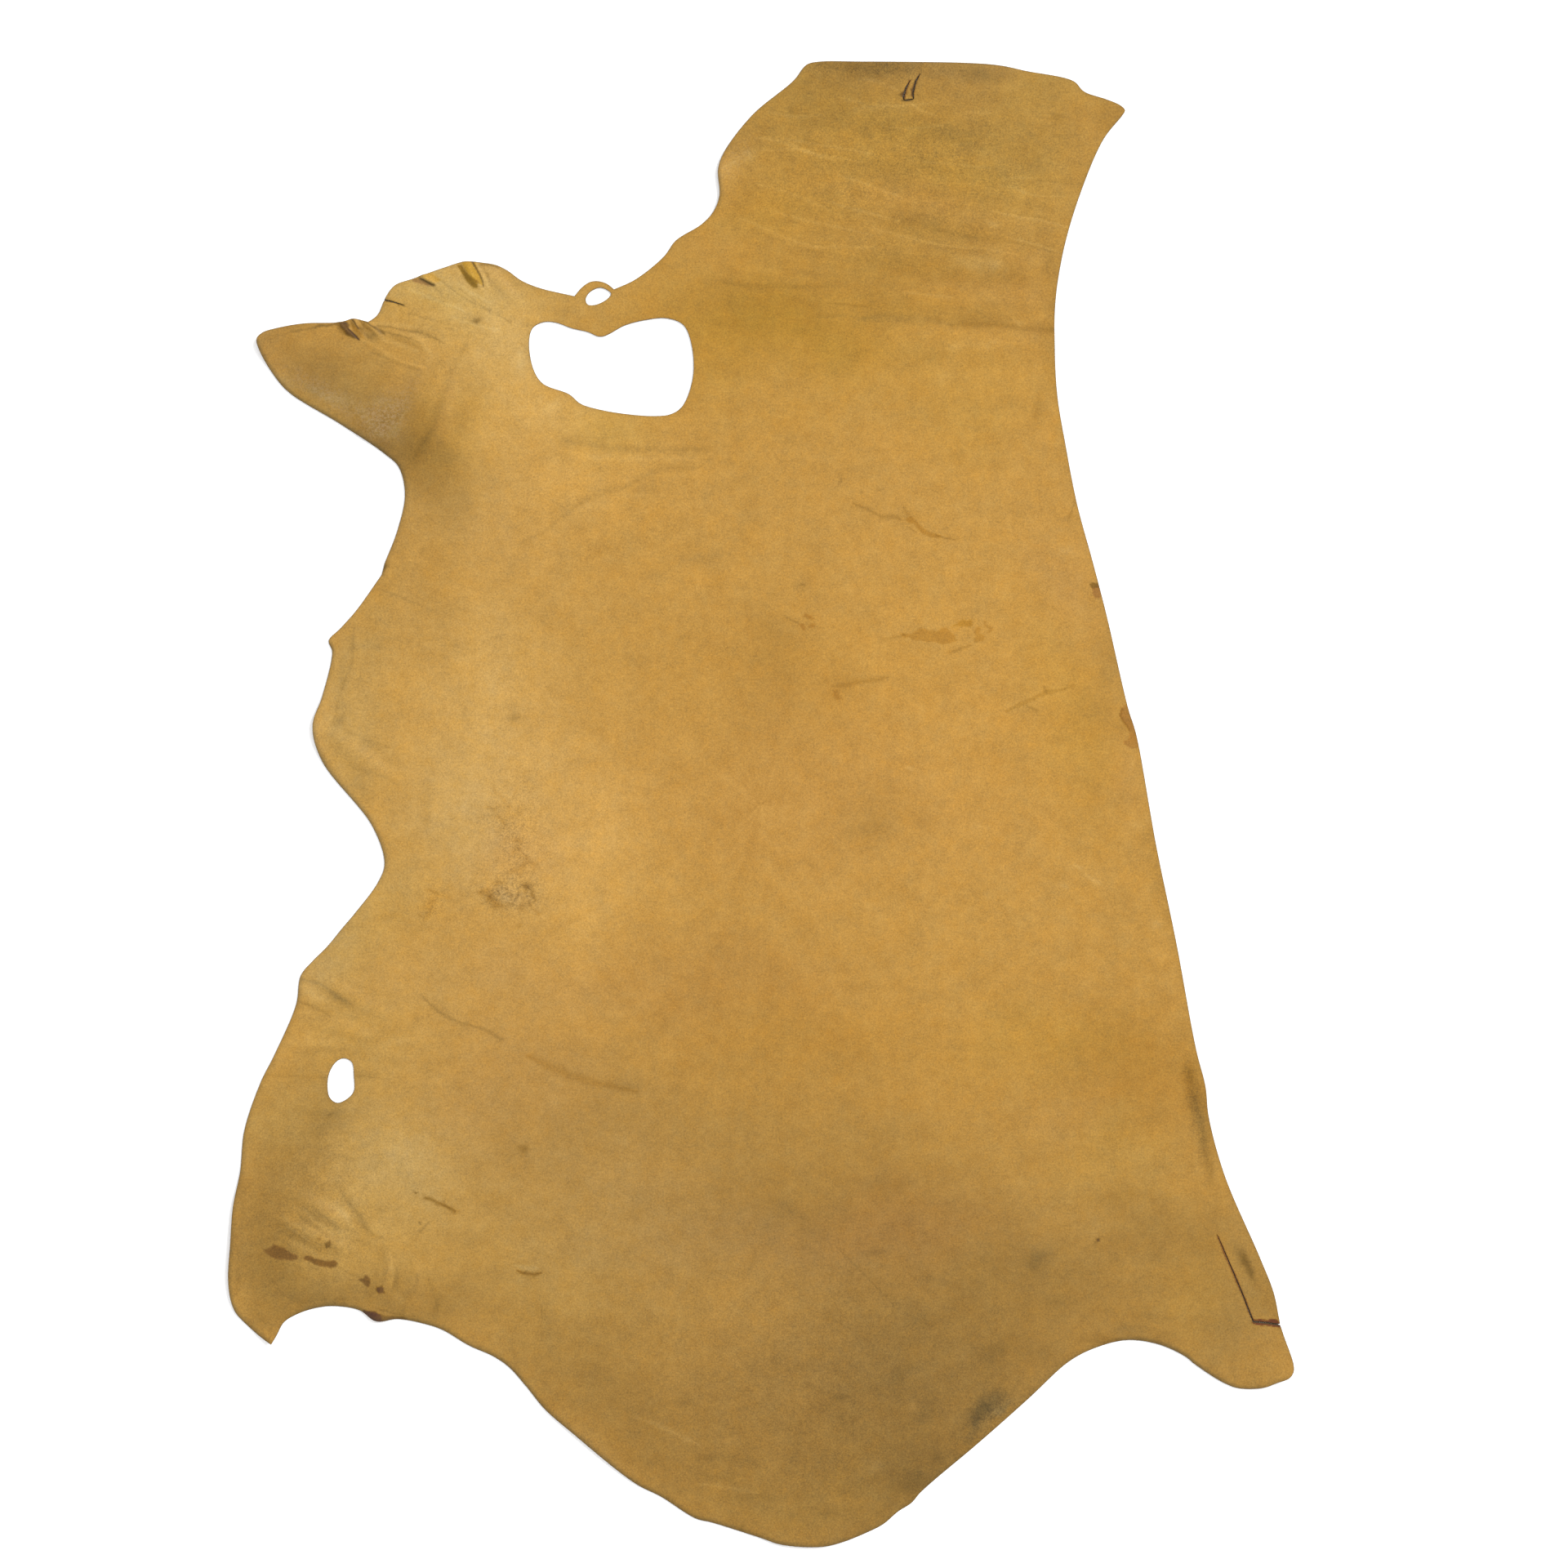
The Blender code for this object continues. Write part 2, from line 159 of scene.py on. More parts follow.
# Folds, each a soft ridge between two troughs, or a lifted stretch of edge.
# Columns: across, along, turn in degrees, half length, half width, bow, height.
FOLDS = {
    "neck roll at the shoulder": (1060, 1762, 0, 240, 36, 8, 4),
    "neck roll in the middle": (1085, 1826, -2, 210, 33, 6, 5),
    "neck roll above": (1050, 1892, -4, 250, 34, -6, 4),
    "nape roll, lower": (985, 1962, -9, 270, 34, -10, 3.5),
    "nape roll, upper": (990, 2040, -7, 250, 36, -12, 3),
    "neck cut lift": (930, 2195, 0, 130, 50, 0, 5),
    "neck corner lift": (1330, 2112, 0, 66, 62, 0, 7),
    "throat corner lift": (705, 2010, 90, 84, 46, 0, 5),
    "shoulder roll, upper": (560, 1572, 27, 190, 36, 10, 3.5),
    "shoulder roll, lower": (610, 1500, 27, 200, 40, 10, 3),
    "fore shank ridge": (303, 1654, 73, 110, 30, 12, 7),
    "fore shank hollow edge": (222, 1680, 60, 90, 30, -8, 4),
    "fore shank tip lift": (30, 1765, 60, 74, 52, 0, 8),
    "shank pleat, left": (169, 1790, -48, 25, 8, 3, 6),
    "shank pleat, middle": (189, 1791, -60, 25, 7, 2, 6.5),
    "shank pleat, right": (210, 1790, -42, 27, 8, -2, 5),
    "shank wrinkle": (262, 1776, -22, 60, 12, -4, 3),
    "throat tuck": (290, 1862, -34, 22, 8, 2, 5.5),
    "throat flap": (356, 1868, -58, 34, 12, 3, 7.5),
    "throat wrinkle": (402, 1850, -48, 50, 15, 4, 3),
    "belly lift": (104, 1205, 88, 120, 50, 0, 9),
    "belly notch lift": (244, 1400, 60, 90, 34, 0, 4),
    "flank roll": (190, 1160, -35, 80, 22, 6, 4),
    "flank wrinkle": (180, 806, -28, 85, 20, 5, 4.5),
    "flank wrinkle, lower": (165, 760, -16, 80, 18, 4, 3.5),
    "hind shank lift": (-22, 430, 86, 190, 66, 0, 9),
    "rump tip lift": (66, 282, 0, 62, 56, 0, 8),
    "belly ripple, upper": (140, 492, -30, 78, 18, 5, 4),
    "belly ripple, lower": (132, 452, -24, 88, 16, 4, 3.5),
    "rump ripple, left": (222, 392, 70, 52, 15, 4, 3.5),
    "rump ripple, right": (268, 380, 78, 60, 16, 4, 3.5),
    "rump lip": (216, 326, -16, 52, 26, 0, 5),
    "rump edge lift": (520, 128, -40, 150, 42, 0, 6),
    "bottom lift": (850, -26, 0, 200, 56, 0, 8),
    "rump curve lift": (1150, 178, 41, 150, 42, 0, 6),
    "tail lobe lift": (1568, 250, 0, 84, 74, 0, 9),
    "tail cut flap": (1548, 360, -62, 70, 34, 0, 5),
    "backbone lift": (1452, 650, -72, 170, 42, 0, 7),
    "backbone lift, upper": (1386, 990, -78, 160, 40, 0, 5),
    "neck edge lift": (1226, 1790, 90, 150, 36, 0, 5),
}

# Shown colour of plain skin: red from 0 to 255, then green and blue as shares of red, and what a
# pale share of one adds to them. The albedo is that light over the stage's light, less the gloss.
SKIN_LIGHT = 196.0
SKIN_GREEN = 0.759
SKIN_BLUE = 0.380
PALE_GREEN = 0.045
PALE_BLUE = 0.090
STAGE_LIGHT = 1.66
RED_SHARE = 0.001
GLOSS_LIGHT = 0.012
LEAST_ALBEDO = 0.006
LEAST_LIGHT = 30.0
# How fast the bell curve of a tone, blotch or line falls off.
FALLOFF = 1.6

# Which columns of a row hold a fold's bow and height, a tone's or blotch's light and pale share,
# a hue's shifts of green and blue, and a place's amount.
BOW, HEIGHT = 5, 6
LIGHT, PALE = 5, 6
GREENER, BLUER = 5, 6
AMOUNT = 5

# Broad tones of the tanned skin, each fading outwards from its middle.
# Columns: across, along, turn in degrees, half length, half width, light, pale.
TONES = {
    "upper neck": (1030, 2090, 0, 420, 150, -17, 0),
    "neck cut, left": (950, 2186, 0, 170, 34, -24, 0.3),
    "neck cut, right": (1110, 2180, -5, 110, 28, -10, 0.3),
    "lower neck": (1050, 1880, 0, 330, 110, -13, -0.2),
    "shoulder": (780, 1790, 0, 190, 90, -15, -0.3),
    "behind the throat": (400, 1750, 0, 110, 110, 16, 1),
    "under the throat hole": (480, 1650, 0, 150, 60, 9, 0.3),
    "throat": (330, 1850, 12, 110, 60, 9, 0.8),
    "fore shank": (140, 1720, -28, 150, 90, -32, 0.2),
    "fore shank, belly side": (225, 1620, 40, 110, 70, -32, 0.2),
    "armpit": (300, 1590, 90, 100, 75, -26, -0.3),
    "chest": (520, 1560, 0, 150, 80, 12, 0.2),
    "belly, upper": (280, 1400, 70, 120, 70, -8, 0),
    "flank": (380, 1180, 90, 280, 150, 13, 0.5),
    "flank, middle": (330, 1080, 90, 160, 100, -2, 0.5),
    "belly": (540, 1010, 90, 180, 110, 14, 0.3),
    "back": (1080, 1250, 90, 420, 240, 6, 0),
    "backbone, middle": (1290, 1290, 82, 200, 50, -9, 0),
    "loin shade": (800, 1275, 80, 120, 90, -10, 0),
    "loin shade, low": (950, 1060, 0, 80, 60, -10, 0),
    "belly edge": (150, 890, 60, 110, 50, -3, 0.8),
    "rib, low": (720, 830, 0, 180, 90, -9, 0),
    "backbone, low": (1330, 690, 0, 150, 120, -13, -0.5),
    "rump": (860, 170, 0, 600, 450, -34, 0),
    "rump, middle": (1010, 230, 90, 230, 190, -16, 0.2),
    "rump, low": (1010, 100, 30, 120, 60, -12, 0.1),
    "rump, upper": (880, 500, 0, 300, 110, -10, 0),
    "hip": (1240, 400, 0, 240, 140, -18, 0.1),
    "hind shank": (60, 430, 90, 180, 90, -34, -0.1),
    "hind shank, low": (150, 375, 0, 150, 55, -22, 0),
    "hind shank, upper": (120, 610, 60, 110, 70, -18, 0.2),
    "stifle": (250, 560, 20, 130, 90, 6, 0.9),
    "thigh": (600, 600, 0, 420, 170, -14, 0.2),
    "thigh, low": (500, 250, -35, 250, 90, -12, 0.1),
    "tail lobe": (1490, 330, 60, 160, 90, -20, 0.2),
    "tail, upper": (1370, 470, 0, 90, 60, -13, 0),
    "thigh, bottom": (260, 345, 0, 100, 45, -18, 0),
    "neck cut, inside": (860, 2130, 0, 130, 60, -12, 0),
    "hip, lower": (1140, 265, 45, 60, 45, -8, 0),
    "rump, upper left": (620, 540, 0, 130, 50, 8, 0),
    "rump, centre": (750, 335, 0, 110, 60, 10, 0),
    "behind the ring": (420, 1640, 0, 90, 40, 6, 0),
    "tail lobe, upper": (1440, 440, 0, 60, 60, -9, 0),
    "rib, foot": (880, 735, 0, 140, 45, -5, 0),
    "rump curve": (1350, 335, 0, 70, 35, -7, 0),
    "hind shank, heel": (72, 372, 0, 34, 24, 14, 0),
}

# Broad shifts of hue. Columns: across, along, turn, half length, half width, then what is added to
# green and to blue, in thousandths of red.
HUES = {
    "neck": (1000, 2060, -10, 330, 110, 8, -28),
    "neck, right": (1180, 2000, -60, 160, 90, 12, 14),
    "shoulder": (800, 1790, 0, 270, 110, 2, -48),
    "shoulder, right": (1100, 1680, 0, 160, 100, 0, -18),
    "throat": (290, 1830, -10, 130, 70, 26, 28),
    "behind the throat": (450, 1840, 0, 110, 50, 16, 22),
    "under the throat hole": (560, 1640, 0, 90, 60, 14, 0),
    "armpit": (320, 1640, 60, 110, 80, -4, -26),
    "chest": (400, 1500, -30, 160, 90, 10, 26),
    "belly edge": (170, 1190, 90, 190, 90, 26, 44),
    "belly edge, low": (220, 930, 60, 130, 70, 18, 26),
    "flank": (420, 1060, 90, 260, 160, 5, 16),
    "loin": (850, 1290, 0, 220, 110, -10, -22),
    "backbone": (1250, 1190, -70, 200, 80, -6, -34),
    "thigh": (190, 720, 60, 190, 150, 22, 30),
    "thigh, right": (420, 690, 0, 200, 120, 4, 24),
    "hind shank": (140, 440, 30, 200, 130, 18, 26),
    "rump, left": (480, 420, 0, 220, 170, 20, 30),
    "rump": (850, 260, 0, 300, 160, 8, 26),
    "rump, low": (850, 60, 0, 200, 60, 12, 12),
    "rump, middle": (980, 470, 0, 170, 70, -18, -10),
    "rib, low": (860, 730, 0, 280, 110, -15, -30),
    "backbone, low": (1290, 590, -40, 150, 80, 12, 6),
    "backbone, side": (1200, 740, 0, 160, 60, 0, -20),
    "tail lobe": (1480, 350, 70, 150, 90, 8, 12),
    "chest, left": (310, 1550, 30, 150, 90, 20, 40),
    "belly, upper": (330, 1330, 0, 200, 80, 10, 20),
    "fore shank": (150, 1680, 30, 120, 70, 14, 16),
    "rump, upper": (800, 440, 0, 310, 80, 9, 34),
    "shoulder, top": (790, 1960, 0, 150, 60, 0, -22),
    "hip": (1230, 480, 0, 180, 90, 7, 14),
    "thigh, middle": (400, 830, 0, 190, 60, 9, 26),
    "belly edge, middle": (170, 1180, 90, 150, 70, 12, 26),
    "hind shank, more": (190, 420, 20, 230, 120, 8, 12),
    "rump, left more": (560, 520, 0, 220, 120, 3, 16),
    "neck, edges": (800, 2140, 0, 120, 50, 12, 14),
    "neck, far edge": (1200, 2130, 0, 120, 50, 14, 6),
    "shoulder, middle": (1000, 1900, 0, 200, 50, 8, 0),
    "ring": (560, 1850, 0, 110, 30, 12, 24),
    "back": (850, 1100, 0, 350, 170, -8, 0),
    "rib, left": (700, 830, 0, 260, 80, -9, 0),
    "backbone, upper": (1230, 1430, -70, 90, 60, 0, 16),
    "backbone, middle": (1310, 1120, -75, 90, 40, 0, 16),
    "flank, abrasion": (430, 1030, 0, 60, 50, 0, 18),
    "thigh, top": (240, 840, 0, 80, 40, 6, 18),
    "hip, upper": (1240, 640, 0, 80, 50, 0, 18),
    "neck, left": (800, 1990, 0, 110, 80, -4, -16),
    "shoulder, lower": (820, 1640, 0, 90, 50, -4, -14),
    "back, right": (1130, 1160, 0, 80, 80, -4, -10),
    "tail, root": (1420, 380, 0, 70, 80, 0, -12),
    "flank, low edge": (60, 620, 60, 70, 60, 14, 18),
    "belly, notch": (215, 1340, 45, 90, 50, 8, 14),
    "flank, bruise": (418, 955, 0, 40, 20, 8, 34),
}

# Soft blotches, paler and darker places, each fading outwards; those on the lit sides of folds and
# ripples are painted light, those in ripples, hollows and along lifted edges painted shade. A name
# holds one or more rows, with the columns of the broad tones.
BLOTCHES = {
    "neck cut, dark": (
        (960, 2171, 0, 42, 11, -18, 0.1), (880, 2173, 0, 35, 8, -10, 0.07),
        (1104, 2162, -10, 30, 13, -18, 0.09), (1130, 2152, -10, 20, 8, -8, 0.04),
    ),
    "neck speck": (
        (826, 2108, 0, 9, 6, -12, 0), (1215, 2103, -8, 13, 6, -16, 0.06),
        (1033, 2133, 0, 9, 5, -12, 0.06),
    ),
    "neck shade": (
        (785, 2086, -10, 28, 12, -9, 0), (855, 2088, -10, 40, 12, -6, 0.04),
        (853, 2060, -20, 15, 10, -8, 0), (882, 1988, 0, 34, 9, -8, 0.06),
        (965, 2012, -40, 32, 14, -6, 0.03), (1185, 2040, -60, 44, 22, -6, 0.01),
        (1030, 1945, -10, 36, 16, -6, 0.07), (790, 1950, -20, 26, 10, -7, 0),
        (1150, 1862, -10, 44, 12, -6, 0), (890, 1853, 0, 22, 6, -8, 0.09),
        (720, 1855, 0, 60, 13, -8, 0), (735, 1830, 0, 30, 12, -6, 0.06),
        (1192, 1770, -20, 22, 17, -8, 0.07), (1065, 2075, -10, 60, 14, -5, 0.03),
        (1205, 1890, 70, 26, 8, -8, -0.03),
    ),
    "neck pale": (
        (764, 2043, 60, 12, 8, 10, 0.48), (738, 2030, 50, 22, 12, 6, 0.3),
        (1083, 1885, 0, 26, 13, 9, 0.54), (1128, 1882, 60, 12, 8, 9, 0.42),
        (1122, 1943, 0, 14, 8, 9, 0.54), (942, 1943, -30, 30, 12, 5, 0.18),
        (1182, 1872, 70, 40, 15, 6, 0), (1162, 1994, -20, 16, 6, 7, 0.3),
        (985, 2118, 0, 50, 9, 5, 0.18), (885, 2040, -15, 40, 14, 4, -0.12),
    ),
    # Painted highlight on the lit side of the neck fold
    "highlight by the neck fold": ((1162, 1799, -15, 14, 5, 12, 0.3),),
    "bright by the backbone": ((1188, 1807, 0, 22, 6, 8, 0),),
    "shoulder pale": (
        (1115, 1765, 0, 24, 8, 7, 0.36), (1068, 1762, 0, 14, 6, 7, 0.3), (836, 1767, 0, 9, 7, 9, 0.18),
        (1060, 1730, 60, 30, 16, 4, 0.24),
    ),
    "shoulder shade": (
        (1187, 1665, 80, 32, 8, -13, -0.06), (1130, 1588, -10, 30, 8, -6, 0),
        (905, 1580, 0, 30, 10, -4, 0.01),
    ),
    "shoulder warm": ((1212, 1640, 82, 56, 6, 6, -0.3),),
    "backbone warm": ((1240, 1480, 20, 22, 9, 6, -0.18),),
    "backbone pale": ((1230, 1464, 0, 12, 5, 7, 0.48),),
    "chest shade": (
        (510, 1624, 0, 40, 11, -11, 0.03), (575, 1611, 0, 56, 7, -7, 0), (690, 1612, 8, 46, 6, -8, 0),
        (738, 1622, 10, 20, 7, -6, 0.04), (755, 1561, 3, 60, 9, -10, 0.07),
        (620, 1552, 0, 32, 8, -7, 0), (735, 1588, 0, 8, 5, -9, 0.03), (812, 1596, 60, 9, 3, -10, 0.01),
        (820, 1628, 0, 22, 9, -6, 0.04), (625, 1430, -30, 14, 8, -9, 0.03),
    ),
    "chest purple": ((685, 1453, 0, 38, 11, -8, 0.14), (690, 1476, 20, 22, 8, -6, 0.12),),
    "chest speck": (
        (588, 1440, 0, 5, 3, -12, 0.03), (783, 1706, 0, 3, 3, -20, 0.03),
        (462, 1360, 0, 4, 3.5, -20, 0.04),
    ),
    "chest bright": ((690, 1410, 78, 8, 2.5, 16, 0.24),),
    "chest yellow": ((695, 1422, 0, 40, 14, 5, -0.12),),
    "fore shank pale": (
        (86, 1711, -38, 20, 6, 2, 0.7), (122, 1699, -20, 26, 8, -6, 0.6),
        (225, 1680, 0, 26, 10, 0, 0.6), (243, 1638, 65, 13, 9, 6, 0.8), (222, 1632, 0, 16, 7, 4, 0.7),
        (256, 1660, 52, 15, 2.5, 14, 0.6), (205, 1656, -50, 26, 9, 8, 0.54),
        (158, 1684, -22, 36, 8, 6, 0.48), (290, 1758, -35, 18, 8, 7, 0.42),
    ),
    "fore shank shade": (
        (190, 1668, -20, 14, 8, -8, -0.01), (175, 1745, 0, 60, 11, -5, 0),
        (238, 1613, -22, 26, 10, -10, 0.03), (250, 1695, 60, 40, 11, -7, 0.03),
        (278, 1727, -20, 22, 5, -9, 0.03),
    ),
    "fore shank yellow": ((110, 1770, 20, 50, 14, 5, -0.18),),
    "armpit shade": (
        (318, 1608, -60, 28, 16, -8, 0.09), (435, 1643, -10, 60, 13, -8, 0),
        (348, 1585, -20, 26, 10, -5, 0.06),
    ),
    "throat spot": ((365, 1801, 0, 6, 5, -50, -0.5),),
    "throat spot, halo": ((360, 1802, 20, 14, 8, -10, 0),),
    "throat shade": ((485, 1815, -10, 34, 14, -10, -0.04),),
    "throat pale": (
        (430, 1742, 90, 20, 9, 6, 0.48), (470, 1672, 30, 24, 8, 6, 0.36),
        (250, 1822, -20, 30, 12, 4, -0.3),
    ),
    # Painted shade in the hollows beside the throat flap
    "throat hollow shade": ((372, 1880, -60, 6, 2.5, -16, 0), (380, 1866, -70, 7, 3, -20, 0),),
    # Dark spot at the belly notch: its cut edge, with painted shadow
    "belly notch": ((229, 1438, 62, 8, 4, -60, 0.06),),
    "belly shade": (
        (180, 1322, 82, 24, 8, -13, 0.01), (151, 1313, 80, 14, 4, -16, 0.04),
        (218, 1320, 0, 15, 6, -8, 0.07), (292, 1332, 0, 20, 8, -6, 0),
        (345, 1320, -10, 40, 14, -7, 0.01), (162, 1212, 40, 20, 8, -12, 0.01),
        (150, 1186, 0, 20, 9, -8, 0), (220, 1175, 0, 20, 7, -8, 0), (240, 1152, -10, 20, 6, -6, 0.01),
        (345, 1262, 70, 26, 12, -6, 0), (345, 1206, 80, 26, 13, -5, 0),
        (146, 1148, -52, 22, 6, -16, 0.07), (195, 1112, -50, 26, 9, -8, 0.03),
        (320, 1378, -10, 60, 10, -5, 0.07),
    ),
    "belly pale": ((385, 1262, 0, 30, 26, 4, 0.12),),
    "belly spot": ((421, 1217, 0, 14, 7, -26, 0),),
    "belly spot, above": ((420, 1232, 70, 12, 6, -6, 0.09),),
    "flank shade": (
        (500, 1318, 80, 24, 14, -5, 0.06), (595, 1302, -20, 30, 9, -6, 0.06),
        (668, 1333, 20, 20, 7, -8, 0.04), (350, 1055, 80, 46, 5, -6, 0),
        (292, 1080, 80, 40, 9, -6, 0.03), (590, 985, 90, 26, 9, -5, 0.1), (700, 948, 0, 3, 2, -20, 0.04),
    ),
    "abrasion": (
        (378, 957, -40, 13, 6, -15, -0.5), (389, 946, -50, 15, 6, -16, -0.5),
        (396, 975, -10, 10, 5, -19, -0.5), (386, 962, -40, 14, 8, -10, -0.5),
        (402, 940, 5, 17, 5, -19, -0.5), (415, 955, -60, 10, 3.5, -21, -0.5),
        (430, 941, 80, 10, 6, -19, -0.5), (437, 973, 5, 10, 4.5, -29, -0.5),
        (436, 962, 60, 9, 4, -16, -0.5), (450, 952, -60, 11, 4, -27, -0.5),
        (443, 939, -50, 13, 3, -16, -0.5), (427, 912, 40, 9, 4.5, -17, -0.5),
        (455, 927, -60, 7, 3, -14, -0.5), (445, 1003, 10, 15, 6, -16, -0.5),
        (432, 1000, 80, 12, 5, -9, -0.5), (424, 1037, 0, 10, 4.5, -17, -0.5),
        (426, 1024, 70, 9, 3, -10, -0.5), (418, 1018, 60, 9, 4, -9, -0.5),
        (420, 993, 0, 15, 7, -9, -0.5), (403, 1095, -60, 10, 3, -9, -0.5),
        (397, 1073, -60, 8, 2.5, -10, -0.5), (411, 1085, 80, 9, 2.5, -6, -0.5),
        (289, 921, 55, 12, 6, -9, -0.3), (298, 946, 60, 15, 6, -5, -0.5),
        (318, 956, 0, 22, 5, -4, -0.5), (383, 953, 60, 7, 2.5, -26, -0.5),
        (397, 961, -70, 9, 2, -28, -0.5), (408, 968, 20, 10, 2, -26, -0.5),
        (413, 946, -20, 9, 2, -26, -0.5), (424, 955, 70, 10, 2, -26, -0.5),
        (441, 968, -30, 12, 2.5, -30, -0.5), (447, 960, 80, 8, 2, -30, -0.5),
        (432, 950, -40, 8, 2, -24, -0.5), (370, 961, 0, 7, 3, -22, -0.5),
        (437, 1012, -60, 10, 3, -18, -0.5), (452, 995, 0, 9, 3, -18, -0.4),
        (390, 1110, -70, 9, 3, -12, -0.4), (420, 1105, 60, 10, 3, -11, -0.4),
        (386, 1086, 0, 12, 3, -12, -0.4), (405, 1064, -60, 8, 3, -12, -0.4),
        (299, 962, 0, 14, 3, -14, -0.6), (296, 933, 80, 12, 4, -7, -0.3),
        (281, 926, -30, 7, 3, -12, -0.4), (352, 958, 10, 14, 3, -9, -0.4),
    ),
    "abrasion, broad": ((415, 955, -4, 48, 22, -3, 0.5),),
    "thigh lit": ((122, 815, -30, 30, 9, 12, 0.48),),
    "thigh shade": (
        (163, 802, -35, 22, 8, -16, 0.1), (186, 776, 20, 13, 4, -12, 0.07),
        (115, 831, -10, 20, 5, -9, 0.01), (118, 792, -18, 28, 5, -8, -0.04),
        (145, 774, -15, 26, 6, -8, -0.04), (140, 727, 3, 60, 6, -7, -0.04),
        (110, 697, 0, 34, 6, -8, 0.03), (200, 690, 0, 24, 8, -10, 0), (272, 765, 50, 20, 6, -7, 0),
        (325, 715, 0, 26, 9, -7, 0.01), (300, 697, 10, 14, 6, -9, 0.06), (240, 714, 10, 26, 8, -6, 0),
        (440, 758, 70, 26, 5, -6, 0.04), (355, 840, -20, 26, 8, -6, 0.04),
    ),
    "thigh pale": ((130, 741, 4, 60, 7, 7, 0.24), (250, 742, 10, 40, 10, 5, 0.18),),
    "shank smudge": (
        (150, 636, 0, 50, 8, -10, 0.09), (150, 634, 0, 6, 3, -22, 0.03),
        (138, 614, 30, 30, 14, -9, 0.1), (167, 613, 0, 12, 8, -8, 0.09),
    ),
    "thigh purple": ((590, 676, 0, 32, 14, -7, 0.12),),
    "thigh spot": ((433, 583, 25, 11, 8, -30, -0.6),),
    "thigh spot, above": ((440, 602, 70, 11, 4, -8, 0.07),),
    # Painted shade in the troughs of the hind shank's ripples
    "shank ripple shade": (
        (130, 482, -45, 26, 6, -12, 0.04), (104, 455, -26, 36, 4.5, -12, 0.01),
        (150, 440, -28, 20, 5, -10, 0.03), (195, 480, -50, 26, 6, -11, -0.01),
        (220, 497, 0, 12, 7, -12, -0.01), (178, 508, -40, 20, 6, -7, 0),
    ),
    "shank lit": (
        (166, 494, -40, 24, 6, 8, 0.3), (100, 472, -28, 34, 5, 8, 0.3), (105, 440, -28, 30, 5, 7, 0.3),
        (165, 462, -30, 16, 5, 7, 0.3), (215, 462, -50, 20, 7, 6, 0.3),
    ),
    # Painted shade in the troughs of the rump's ripples
    "rump ripple": (
        (245, 388, 80, 17, 5, -15, 0.03), (275, 385, 76, 22, 5, -11, 0.04),
        (228, 400, 60, 18, 4, -8, 0.03), (305, 352, 76, 22, 7, -10, 0.03),
    ),
    "rump lit": (
        (260, 384, 80, 17, 4.5, 8, 0.24), (236, 410, 62, 14, 4, 5, 0.18),
        (252, 362, -38, 15, 4.5, 9, 0.18),
    ),
    # Painted shade along the hind shank's lower and left edges
    "shank edge shade": (
        (88, 366, -18, 32, 6, -11, 0.06), (147, 361, 0, 42, 7, -10, 0.09),
        (54, 330, -46, 40, 6, -10, 0.06), (20, 500, 88, 36, 5, -9, 0.04), (14, 395, 88, 36, 6, -8, 0.06),
    ),
    "under the scar": ((108, 410, -8, 32, 3, -9, -0.01),),
    "rump blue": ((840, 485, -25, 44, 14, -8, 0.1), (862, 462, 0, 26, 8, -7, 0.12),),
    "rump pale": (
        (930, 490, 80, 26, 9, 5, -0.06), (950, 118, 0, 18, 12, 8, 0.36), (740, 155, -10, 26, 9, 5, 0.12),
    ),
    "rump shade": (
        (960, 532, 0, 56, 11, -6, 0.07), (985, 250, 88, 32, 15, -9, 0.04),
        (1005, 262, 0, 13, 6, -7, 0.06), (850, 262, 0, 22, 8, -7, 0.07),
        (865, 230, -15, 24, 7, -8, 0.06), (897, 220, 0, 18, 5, -16, 0.09),
        (897, 187, 10, 13, 6, -10, 0.06), (1016, 189, 0, 26, 7, -7, 0.04),
        (830, 135, 60, 22, 14, -8, 0.09), (1042, 128, 20, 14, 11, -12, 0.03),
        (1002, 90, 20, 36, 15, -16, 0.1), (700, 130, 0, 24, 8, -10, 0.04),
        (715, 103, 0, 24, 8, -11, 0.06), (610, 126, 0, 32, 8, -9, 0.07), (742, 128, 0, 32, 7, -8, 0.04),
        (775, 72, 0, 60, 6, -7, 0.03), (880, 48, 0, 22, 5, -10, 0.03),
    ),
    "rump purple": (
        (945, 432, 0, 30, 7, -8, 0.07), (882, 341, 0, 15, 7, -8, 0.07), (665, 212, 0, 26, 8, -10, 0.06),
    ),
    "hip blue": ((1185, 414, 80, 22, 15, -13, 0.1), (1206, 430, 10, 26, 6, -6, 0.06),),
    "hip shade": (
        (1040, 390, -10, 32, 8, -7, 0.06), (1216, 360, 0, 24, 8, -8, 0.04),
        (1020, 334, 0, 42, 13, -7, 0.07), (1128, 288, 20, 26, 12, -12, 0.07),
        (1195, 285, 0, 32, 12, -8, 0.03), (1150, 306, 10, 22, 5, -8, 0.01),
    ),
    "rump yellow": ((1005, 205, -10, 10, 6, 13, -0.06),),
    "rump green": ((1060, 125, 0, 9, 6, 12, 0.12),),
    "rump yellow, low": ((905, 68, 0, 44, 8, 8, -0.18),),
    "rump speck": ((755, 29, 0, 5, 4, -24, 0.04),),
    "hip speck": ((1277, 452, 0, 4, 3.5, -84, -0.6),),
    "smudge": (
        (1108, 204, 50, 30, 16, -30, 0.6), (1127, 212, 32, 28, 12, -18, 0.5),
        (1097, 183, 75, 20, 11, -20, 0.5), (1091, 163, 60, 12, 7, -14, 0.4),
    ),
    "smudge, pale rim": ((1136, 202, 38, 26, 7, -6, 1),),
    "loin purple": (
        (935, 1052, 0, 36, 13, -11, 0.09), (950, 1065, -40, 22, 10, -7, 0.07),
        (800, 1345, 0, 26, 20, -7, 0.09),
    ),
    "loin pale": ((1000, 1144, 0, 7, 4, 14, 0.48),),
